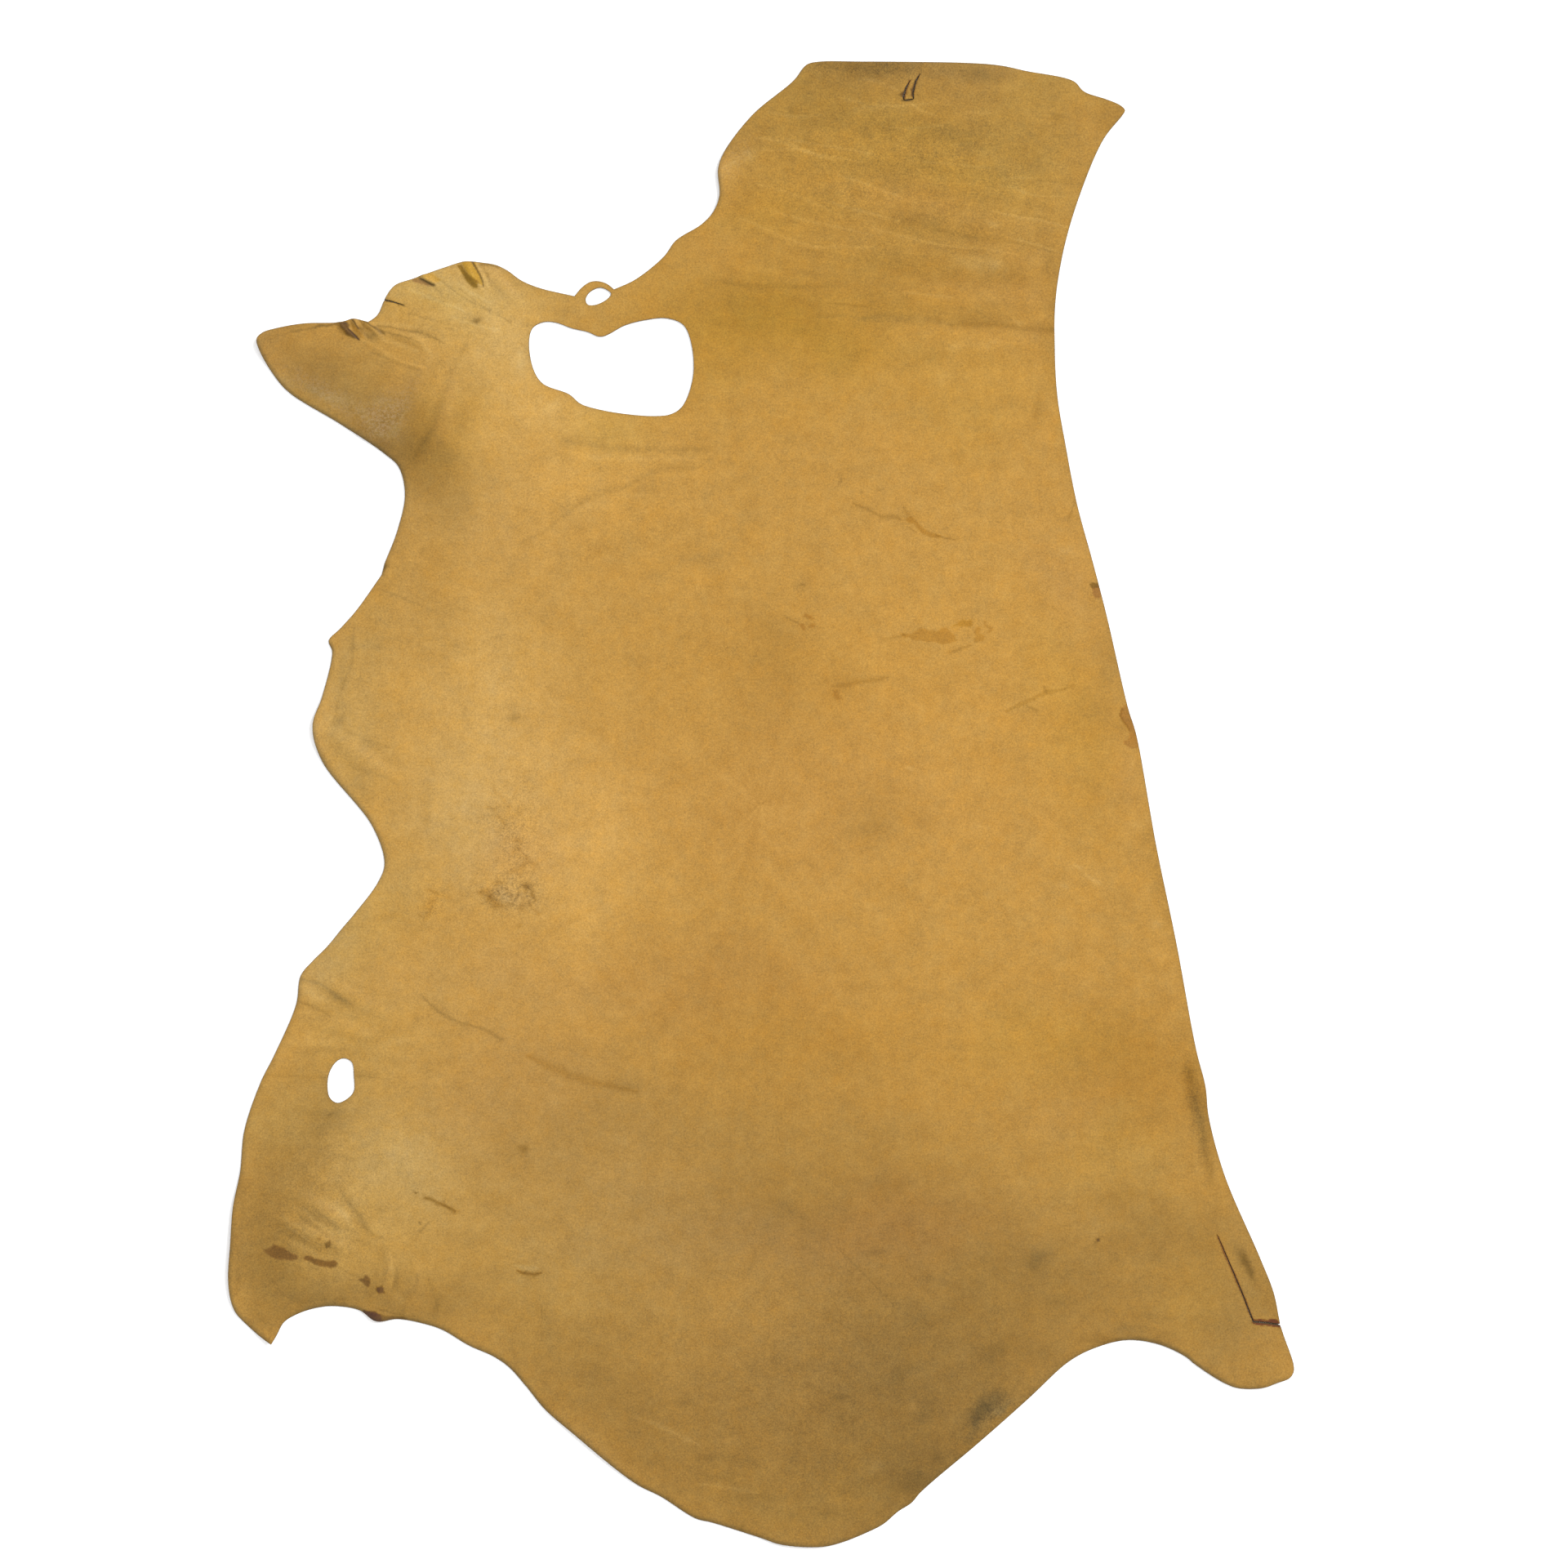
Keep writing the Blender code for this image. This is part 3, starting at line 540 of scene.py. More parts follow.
    "back pale": (
        (1245, 998, 0, 14, 6, 12, 0.54), (1269, 980, -20, 18, 7, 10, 0.54),
        (1225, 970, 0, 11, 5, 9, 0.48), (1255, 1035, 0, 16, 8, 5, 0.36),
        (1335, 1060, 20, 22, 10, 8, 0.54), (1364, 914, 30, 12, 9, 9, 0.54),
        (1106, 1055, 0, 12, 6, 6, 0.36), (1325, 1146, 80, 13, 5, 8, 0.42),
    ),
    "back strip": ((1336, 788, 88, 46, 4, 6, 0.18),),
    "back speck": (
        (1337, 910, 0, 4.5, 4, -18, 0.04), (1226, 864, 80, 7, 4, -16, 0.07),
        (1359, 802, 0, 2.5, 2, -40, 0.04), (861, 1002, 0, 2, 1.8, -36, 0.03),
        (827, 1285, 0, 2.5, 2.2, -50, 0.03), (825, 1274, 0, 2, 1.6, -24, 0.03),
        (1160, 1306, 0, 3, 2.5, -18, 0.03),
    ),
    "backbone dark": (
        (1412, 690, -84, 24, 12, -22, -0.4), (1420, 648, -80, 40, 14, -30, 0.3),
        (1431, 602, -82, 32, 10, -30, 0.4), (1439, 560, -78, 36, 9, -26, -0.2),
    ),
    "band": (
        (960, 820, -3, 100, 8, -6, 0.01), (1040, 806, 0, 50, 8, -6, 0.07),
        (1130, 795, 0, 50, 6, -6, 0.04), (1290, 790, 0, 46, 15, -5, 0.06),
        (860, 655, 0, 50, 12, -5, 0.07),
    ),
    "tail smudge": (
        (1492, 420, -62, 17, 7, -42, -0.3), (1502, 402, -66, 14, 5, -38, -0.1),
        (1480, 436, -50, 18, 9, -12, 0.2),
    ),
    "tail shade": ((1478, 290, 90, 36, 8, -5, 0.01),),
    "tail yellow": ((1522, 372, -66, 36, 14, 7, -0.3),),
    # Painted shade in the hollows between the shank pleats
    "pleat hollow shade, purplish": ((196, 1789, -50, 9, 5, -44, 0), (208, 1779, -12, 11, 5, -38, 0.1),),
    "rump curve shade": ((1310, 303, 0, 80, 9, -17, 0), (1385, 290, -25, 40, 7, -10, 0.2),),
    "hip edge shade": ((1190, 235, 42, 70, 9, -8, 0.1),),
    "smudge, broad": ((1114, 198, 45, 42, 24, -12, 0.3),),
    "shank tip": ((62, 1776, 0, 16, 12, -8, 0),),
    "belly strip": (
        (166, 1285, 86, 62, 13, -10, 0.35), (205, 1325, 0, 28, 12, -6, 0.4),
        (166, 1215, 60, 14, 6, -9, 0), (152, 1190, 0, 12, 8, -7, 0.1), (212, 1178, 0, 18, 7, -4, 0),
    ),
    "rump curve stain": ((1318, 318, 0, 34, 9, -13, 0.3),),
    "rump curve spots": ((1352, 338, 0, 16, 5, -7, 0.2),),
    "hip olive": ((1300, 512, 10, 50, 14, -7, -0.2),),
    "hip purple": ((1190, 425, 40, 26, 16, -10, 0.4),),
    "neck centre, pale": ((1110, 1882, 0, 34, 16, 5, 0.5),),
}

# Drawn lines: creases, partly darkened by painted shade, folds' feet darkened by painted shade,
# their crests lit by painted highlights, scratches and veins. A name holds one or more rows, each
# with its light, its pale share and how deep it lies in millimetres, then stations: across, along, width.
LINES = {
    # Painted highlights on the lit crests of the neck's wrinkles
    "neck crest highlight": (
        (9, 0.3, 0.2, ((770, 2070, 2), (800, 2066, 5), (835, 2055, 6), (870, 2041, 4), (890, 2036, 2))),
        (8, 0.3, 0.2, ((782, 2050, 2), (830, 2052, 4), (880, 2042, 4), (930, 2034, 2))),
        (6, 0.3, 0.2, ((815, 2068, 2), (860, 2060, 4), (925, 2049, 4), (950, 2043, 2))),
        (7, 0.2, 0.2, ((775, 2002, 2), (825, 1988, 4), (862, 1972, 5), (885, 1962, 2))),
        (9, 0.3, 0.3, ((895, 2014, 2), (930, 2004, 4), (960, 1992, 5), (990, 1981, 2))),
        (7, 0.2, 0.2, ((1060, 2058, 2), (1090, 2061, 4), (1125, 2062, 2))),
        (9, 0.3, 0.2, ((915, 2112, 2), (950, 2115, 5), (1000, 2117, 4), (1040, 2121, 2))),
        (8, 0.3, 0.2, ((900, 2127, 2), (920, 2123, 6), (935, 2118, 2))),
        (10, 0.3, 0.2, ((1002, 2121, 2), (1018, 2109, 5), (1040, 2102, 2))),
        (13, 0.1, 0.2, ((1083, 2108, 2), (1100, 2106, 3.5), (1118, 2105, 2))),
        (6, 0.3, 0.2, ((920, 2156, 2), (955, 2152, 5), (985, 2138, 2))),
        (7, 0.3, 0.2, ((1135, 2009, 2), (1160, 2011, 3), (1188, 2010, 2))),
        (7, 0.3, 0.2, ((1130, 2000, 2), (1152, 1996, 5), (1180, 1985, 3), (1230, 1983, 2))),
        (7, 0.2, 0.2, ((750, 1952, 2), (775, 1942, 4), (805, 1928, 5), (840, 1915, 4), (875, 1907, 2))),
        (7, 0.3, 0.2, ((800, 1962, 2), (850, 1947, 4), (900, 1937, 4), (950, 1925, 2))),
        (7, 0.2, 0.2, ((945, 1937, 2), (1000, 1922, 4), (1055, 1910, 4), (1110, 1906, 4),
            (1165, 1896, 2))),
        (11, 0.3, 0.3, ((1120, 1962, 2), (1160, 1953, 4), (1200, 1947, 5), (1232, 1938, 3))),
        (9, 0.3, 0.2, ((1150, 1921, 2), (1185, 1913, 4), (1222, 1900, 3))),
        (6, 0.3, 0.2, ((985, 1842, 2), (1030, 1838, 4), (1065, 1834, 2))),
        (6, 0.2, 0.2, ((840, 1908, 2), (900, 1909, 5), (960, 1906, 2))),
        (7, 0.3, 0.2, ((722, 2022, 2), (745, 2036, 6), (760, 2050, 3))),
        (5, 0.3, 0.2, ((960, 2086, 2), (1000, 2083, 4), (1060, 2088, 2))),
        (5, 0.3, 0.2, ((800, 2105, 2), (840, 2100, 5), (880, 2104, 2))),
        (6, 0.3, 0.2, ((880, 1975, 2), (930, 1961, 5), (985, 1947, 2))),
        (5, 0.3, 0.2, ((1010, 2034, 2), (1070, 2030, 5), (1120, 2024, 2))),
    ),
    # The strong neck fold: its dark line partly painted shade, its broad foot painted shade
    "neck fold, strong": (
        (-12, -0.2, 0.3, ((1060, 1793, 5), (1085, 1794, 9), (1130, 1793, 9), (1165, 1789, 10),
            (1213, 1785, 9))),
    ),
    "neck fold, strong shaded foot": (
        (-6, 0, 0.2, ((1040, 1800, 8), (1100, 1796, 18), (1160, 1793, 18), (1213, 1788, 16))),
    ),
    # Dark creases across the neck, partly painted shade in their troughs
    "neck fold": (
        (-11, 0.2, 0.3, ((925, 1801, 4), (955, 1806, 10), (990, 1803, 12), (1035, 1800, 10),
            (1062, 1794, 4))),
        (-9, 0, 0.3, ((722, 1856, 8), (780, 1851, 9), (830, 1850, 7), (880, 1850, 3))),
        (-11, -0.1, 0.2, ((880, 1826, 2), (905, 1824, 4), (928, 1821, 4), (945, 1822, 2))),
        (-7, 0, 0.2, ((1030, 1934, 3), (1080, 1924, 7), (1120, 1918, 6), (1160, 1914, 3))),
        (-10, 0.1, 0.3, ((1180, 2007, 2), (1215, 2003, 3), (1252, 2000, 3))),
        (-9, -0.1, 0.2, ((1045, 1907, 2), (1075, 1905, 3.5), (1110, 1899, 2))),
        (-9, 0, 0.2, ((1150, 1958, 2), (1185, 1952, 3), (1215, 1944, 2))),
        (-9, 0.1, 0.2, ((1155, 1914, 2), (1185, 1907, 4), (1210, 1901, 2))),
        (-9, 0, 0.2, ((850, 1903, 2), (865, 1902, 3), (882, 1900, 2))),
        (-6, 0.1, 0.2, ((1150, 2077, 3), (1190, 2072, 6), (1235, 2070, 3))),
        (-8, 0, 0.2, ((830, 2073, 2), (850, 2066, 6), (870, 2060, 3))),
        (-7, 0.1, 0.2, ((940, 1804, 3), (900, 1808, 6), (850, 1803, 3))),
    ),
    # Painted shade in the hollows of the shank pleats
    "pleat": (
        (-80, -0.3, 0.8, ((181, 1802, 2.5), (185, 1798, 3.2), (188, 1792, 2.4), (191, 1788, 3.5))),
        (-85, -0.4, 0.8, ((176, 1788, 1.5), (182, 1783, 2.2), (187, 1778, 3.2), (190, 1774, 3.6),
            (192, 1772, 2))),
        (-55, -0.1, 0.5, ((198, 1799, 2), (205, 1796, 3), (211, 1792, 3), (218, 1788, 4),
            (225, 1783, 5), (229, 1780, 2))),
        (-28, 0, 0.3, ((213, 1791, 2), (226, 1792, 3), (245, 1789, 2.5), (262, 1785, 3), (282, 1783, 5),
            (300, 1775, 4), (316, 1767, 2))),
        (-20, 0, 0.3, ((227, 1784, 2), (243, 1780, 2.5), (262, 1775, 2), (280, 1768, 1.5))),
        (-45, 0, 0.4, ((126, 1791, 2), (136, 1793, 4), (146, 1793, 4), (156, 1795, 3))),
        (-20, 0.1, 0.2, ((92, 1784, 3), (112, 1787, 3), (128, 1790, 3))),
    ),
    # Painted highlight on the pleat's lit crest
    "pleat crest highlight": ((16, -0.5, 0, ((180, 1792, 3), (186, 1788, 7), (192, 1780, 7), (198, 1775, 3))),),
    # Painted highlights on the lit crests of the shank wrinkles
    "shank crest highlight": (
        (12, 0.1, 0, ((196, 1773, 3), (215, 1763, 6), (238, 1750, 7), (262, 1738, 5), (290, 1731, 3))),
        (8, 0.3, 0, ((222, 1774, 3), (250, 1765, 6), (278, 1756, 4))),
    ),
    # Painted shade in the shank fold's trough
    "shank fold": ((-12, 0, 0.3, ((210, 1754, 3), (238, 1742, 5), (262, 1733, 5), (282, 1728, 3))),),
    "shank ridge, lit": (
        (9, 0, 0, ((312, 1730, 8), (304, 1705, 16), (296, 1678, 18), (288, 1650, 18), (276, 1622, 8))),
    ),
    # Painted shade at the feet of the shank ridge
    "shank ridge, shaded foot": (
        (-14, 0, 0, ((350, 1765, 6), (330, 1730, 12), (316, 1690, 12), (305, 1660, 12), (292, 1630, 14),
            (274, 1602, 8))),
    ),
    "shank ridge, shaded left foot": (
        (-8, 0, 0, ((280, 1722, 6), (270, 1700, 14), (260, 1675, 12), (250, 1655, 6))),
    ),
    # Throat creases, partly painted shade in their troughs
    "throat crease": (
        (-20, 0, 0.2, ((308, 1862, 2), (325, 1848, 2), (345, 1835, 2.5), (366, 1822, 2),
            (390, 1811, 3.5), (412, 1800, 2), (440, 1792, 1.5))),
        (-18, 0, 0.2, ((300, 1850, 2.5), (312, 1841, 1.5), (330, 1832, 1.5))),
        (-12, 0, 0.2, ((338, 1848, 2), (358, 1832, 2.5), (378, 1818, 2.5), (396, 1809, 2))),
        (-9, 0, 0.2, ((385, 1816, 2), (420, 1802, 2.5), (455, 1789, 2))),
        (-7, 0, 0.2, ((300, 1793, 2), (350, 1784, 3), (405, 1776, 2))),
        (-8, 0, 0.2, ((262, 1812, 2), (300, 1800, 3), (350, 1790, 2))),
        (-7, 0, 0.2, ((290, 1838, 2), (330, 1818, 3), (360, 1808, 2))),
        (-8, 0, 0.2, ((250, 1815, 2), (280, 1806, 2.5), (322, 1798, 2))),
    ),
    # Painted highlights on the lit crests of the throat folds
    "throat crest highlight": (
        (7, 0.4, 0, ((262, 1848, 3), (300, 1832, 6), (345, 1815, 3))),
        (6, 0.3, 0, ((330, 1860, 3), (355, 1842, 5), (385, 1826, 3))),
        (8, 0.3, 0, ((214, 1797, 3), (240, 1795, 6), (275, 1790, 3))),
        (6, 0.4, 0, ((330, 1805, 2), (370, 1792, 5), (420, 1785, 2))),
    ),
    # Painted shade in the tuck's fold line
    "tuck": (
        (-105, -0.2, 0.8, ((281, 1862, 1.8), (288, 1859, 2.8), (296, 1855, 3.2), (302, 1852, 2.8))),
    ),
    # Painted shade in the valley beside the throat flap
    "flap edge, shaded valley": (
        (-80, -0.2, 0.6, ((358, 1886, 2), (363, 1878, 2.2), (369, 1868, 2.4), (373, 1858, 2.8),
            (374, 1850, 2))),
    ),
    "flap lit": ((12, 0.4, 0, ((363, 1884, 4), (371, 1872, 6), (378, 1858, 6), (382, 1850, 3))),),
    "throat edge": ((-34, -0.2, 0, ((371, 1883, 2.5), (384, 1882, 3.5), (397, 1879, 2))),),
    # Painted shade along the throat cut
    "throat slit shade": ((-90, -0.2, 0.3, ((225, 1832, 2.5), (240, 1828, 2.6), (257, 1823, 2.2))),),
    # Painted shade along the shoulder fold, and painted light on its lit side
    "shoulder fold": (
        (-12, 0, 0, ((425, 1472, 4), (470, 1495, 6), (510, 1528, 8), (545, 1545, 12), (580, 1556, 10),
            (602, 1565, 5))),
    ),
    "shoulder fold, on": (
        (-11, 0.1, 0, ((600, 1566, 4), (628, 1580, 7), (652, 1585, 8), (690, 1585, 4), (722, 1612, 3))),
    ),
    "shoulder fold, lit": ((5, 0.2, 0, ((500, 1518, 5), (560, 1538, 14), (610, 1545, 5))),),
    "belly crease": (
        (-12, 0.1, 0.2, ((226, 1404, 2), (252, 1394, 2.5), (285, 1380, 2.5), (306, 1371, 2))),
        (-14, 0.1, 0.1, ((184, 1348, 2), (183, 1325, 5), (181, 1300, 5), (172, 1275, 4), (166, 1258, 2))),
        (-9, 0.1, 0.1, ((168, 1150, 2), (190, 1141, 3), (225, 1132, 4), (250, 1118, 2))),
        (-7, 0, 0.1, ((165, 1200, 4), (200, 1186, 5), (240, 1172, 3))),
        (-11, -0.1, 0.1, ((168, 1262, 2), (160, 1240, 4), (157, 1222, 4), (150, 1205, 2))),
    ),
    "flank scratch": ((-16, 0.1, 0.2, ((700, 1205, 1.5), (715, 1213, 2), (731, 1221, 1.5))),),
    "vein": (
        (-22, 0, 0.2, ((283, 808, 2.8), (296, 796, 4.2), (311, 783, 7), (330, 773, 4.2),
            (350, 766, 4.2), (378, 758, 5.6), (401, 744, 5.6))),
        (-12, -0.5, 0.1, ((438, 721, 4), (470, 705, 14), (500, 693, 15), (532, 683, 12), (565, 675, 8),
            (600, 668, 4))),
    ),
    "thigh fold": (
        (-14, -0.1, 0.3, ((102, 800, 3), (125, 792, 4), (150, 778, 3))),
        (-12, 0.3, 0.3, ((108, 832, 3), (135, 825, 4), (160, 808, 6), (180, 796, 3))),
    ),
    "shank crease": ((-10, 0, 0.2, ((150, 414, 2), (175, 402, 4), (206, 388, 2))),),
    "rump scratch": (
        (-12, 0.1, 0.2, ((893, 441, 1.5), (918, 414, 3.5), (945, 386, 2), (965, 366, 3.5),
            (978, 352, 2))),
        (-18, 0.1, 0.2, ((459, 366, 1.4), (460, 350, 1.8), (460, 332, 1.4))),
    ),
    # Painted highlights on the lit crests of the rump's ripples
    "rump crest highlight": (
        (10, 0.3, 0.1, ((598, 190, 3), (630, 178, 5), (665, 162, 6), (692, 148, 3))),
        (9, 0.2, 0.1, ((690, 92, 3), (735, 86, 6), (778, 78, 3))),
    ),
    "backbone scratch": ((-24, -0.1, 0.2, ((1231, 1503, 1.5), (1237, 1518, 2), (1243, 1534, 1.5))),),
    # Painted shade at the foot of the neck tongue
    "tongue foot shade": (
        (-85, -0.1, 0.2, ((990, 2124, 2.5), (996, 2123.5, 3), (1001, 2124.5, 3), (1005, 2126, 2))),
    ),
    "tongue lit": (
        (12, 0.3, 0, ((996, 2134, 1.5), (996, 2129, 2), (998, 2126, 2), (1001, 2128, 2.5),
            (1000, 2138, 1.5))),
    ),
    "lip crease": ((-20, 0, 0.2, ((219, 348, 1.5), (235, 344, 2), (255, 340, 1.8), (275, 337, 1.5))),),
    "scratch A": (
        (-22, -0.2, 0.1, ((917, 1532, 2.1), (932, 1526, 4.2), (948, 1518, 3.5), (962, 1512, 3.5),
            (975, 1513, 7), (986, 1508, 3.5))),
    ),
    "scratch A, branch": ((-18, -0.2, 0.1, ((988, 1527, 2.1), (996, 1518, 4.9), (1001, 1512, 4.2))),),
    "scratch A, tail": ((-23, -0.2, 0.1, ((1040, 1484, 3.5), (1052, 1481, 3.1), (1068, 1478, 2.1))),),
    "scratch A, lower": ((-18, -0.1, 0.1, ((998, 1496, 2.1), (1010, 1490, 2.8))),),
    "scratch B": ((-17, -0.2, 0.05, ((913, 1332, 2), (950, 1332, 3), (970, 1334, 4), (992, 1338, 4))),),
    "scratch B, streak": (
        (-21, -0.3, 0.1, ((1058, 1313, 2.1), (1070, 1316, 4.9), (1080, 1321, 3.5), (1089, 1323, 2.1))),
    ),
    "scratch C": (
        (-19, -0.3, 0.05, ((889, 1263, 3), (904, 1265, 7), (920, 1268, 7), (935, 1271, 6),
            (948, 1272, 6), (958, 1274, 6), (970, 1278, 2.5))),
    ),
    "scratch D, spur": ((-20, -0.1, 0.1, ((1197, 1263, 2.8), (1200, 1257, 5.6))),),
    "scratch D, end": ((-18, -0.1, 0.1, ((1228, 1259, 2.8), (1235, 1263, 4.9), (1242, 1263, 2.8))),),
    "scratch D, branch": ((-17, -0.1, 0.1, ((1171, 1235, 2.1), (1180, 1231, 3.5), (1188, 1226, 3.5))),),
    "scratch E": ((-20, -0.1, 0.1, ((806, 1370, 3.5), (820, 1363, 2.8), (837, 1357, 2.8))),),
    "scratch F": (
        (-44, -1.1, 0.05, ((274, 519, 2), (283, 514.5, 3.5), (292, 511, 4.5), (301, 507.5, 5.5),
            (310, 504, 4.5), (319, 499.5, 3.5), (327, 495, 5), (332, 492.5, 4.5), (337, 489, 2))),
    ),
    "scratch F, start": ((-21, -0.1, 0.1, ((271, 520, 4.2), (276, 518, 5.6), (283, 513, 2.8))),),
    "scratch G": ((-20, 0, 0.1, ((295, 477, 2), (291, 473, 4.5), (288, 469, 2.5))),),
    "scratch G, on": ((-22, 0, 0.1, ((286, 467, 2.8), (281, 462, 4.2))),),
    "scratch G, dot": ((-45, 0.1, 0.1, ((280, 476, 3.4), (280.5, 475.5, 3.4))),),
    "scratch H": (
        (-44, -1.2, 0, ((424, 405, 2.5), (432, 402, 4.5), (441, 400, 5.5), (450, 399.5, 5),
            (459, 401.5, 2.5))),
    ),
    "scratch H, halo": ((4, 0.6, 0, ((420, 413, 4), (437, 409, 8), (455, 408, 4))),),
    "fine scratch": (
        (-12, 0, 0.1, ((1207, 1384, 1.5), (1222, 1388, 2))),
        (-12, 0, 0.1, ((1208, 1370, 1.5), (1217, 1374, 2))),
        (-12, 0, 0.1, ((1211, 1377, 1.5), (1230, 1378, 2), (1243, 1380, 1.5))),
    ),
    "speck A": ((-24, 0, 0, ((925, 1545, 3), (930, 1549, 4))),),
    "speck B": ((-20, 0, 0, ((952, 1552, 2), (959, 1552, 3))),),
    "speck C": ((-20, 0, 0, ((896, 1561, 3), (901, 1568, 3))),),
    "speck D": ((-16, 0, 0, ((1051, 1495, 3), (1060, 1498, 4))),),
    "speck E": ((-24, -0.1, 0, ((839, 1413, 4), (845, 1412, 4))),),
    "speck F": ((-16, -0.1, 0, ((843, 1406, 3), (844, 1404, 3))),),
    "speck G": ((-16, -0.1, 0, ((1006, 1361, 3), (1008, 1360, 3))),),
    "speck H": ((-14, -0.1, 0, ((1014, 1360, 3), (1015, 1358, 3))),),
    "speck I": ((-14, -0.1, 0, ((872, 1270, 2), (881, 1270, 2.5))),),
    # Painted shade in the troughs of the hind shank's ripples; the lit rows below are painted light on their
    # crests
    "shank arc": (
        (-14, 0.1, 0.1, ((124, 500, 2), (136, 487, 6), (153, 473, 7), (164, 461, 3))),
        (-13, 0.1, 0.1, ((101, 490, 2), (114, 477, 6), (130, 467, 6), (148, 454, 3))),
        (-12, 0.1, 0.1, ((76, 464, 2), (90, 455, 5), (104, 447, 6), (134, 434, 3))),
        (-10, 0.1, 0.1, ((64, 455, 2), (76, 449, 5), (90, 443, 3))),
        (-12, 0.1, 0.1, ((168, 514, 3), (180, 500, 8), (190, 487, 8), (203, 464, 4))),
        (-12, -0.2, 0.1, ((176, 482, 4), (196, 470, 10), (212, 458, 9), (226, 452, 4))),
        (-11, 0, 0.1, ((226, 436, 3), (231, 415, 8), (229, 395, 8), (219, 376, 4))),
        (-12, 0.1, 0.1, ((246, 410, 3), (248, 394, 8), (247, 375, 4))),
        (-8, 0, 0.1, ((264, 425, 3), (272, 405, 8), (277, 388, 4))),
        (-8, 0, 0.1, ((292, 400, 3), (300, 375, 8), (307, 350, 4))),
    ),
    "shank arc, lit": (
        (8, 0.3, 0.1, ((110, 497, 3), (124, 481, 6), (142, 467, 6), (156, 456, 3))),
        (4, 0.3, 0.1, ((150, 500, 3), (170, 486, 8), (182, 470, 6))),
        (7, 0.3, 0.1, ((84, 471, 3), (100, 461, 5), (118, 450, 3))),
        (8, 0.2, 0.1, ((238, 430, 3), (241, 405, 6), (238, 380, 3))),
    ),
    # Painted shade in the shoulder crease, and painted light on its lit side
    "shoulder crease": (
        (-9, 0, 0, ((480, 1628, 4), (520, 1620, 8), (580, 1613, 9), (640, 1612, 9), (702, 1611, 6))),
    ),
    "shoulder crease, lit": (
        (6, 0.2, 0, ((500, 1606, 5), (570, 1597, 9), (640, 1597, 7), (690, 1598, 4))),
    ),
    "flank crease": (
        (-9, -0.1, 0.1, ((50, 692, 2), (90, 690, 5), (140, 689, 5), (190, 691, 4), (235, 686, 2))),
    ),
    # Painted shade in a pleat's fold
    "pleat, left stroke": ((-26, -0.2, 0.2, ((150, 1798, 2), (163, 1797, 4), (175, 1796, 3))),),
}

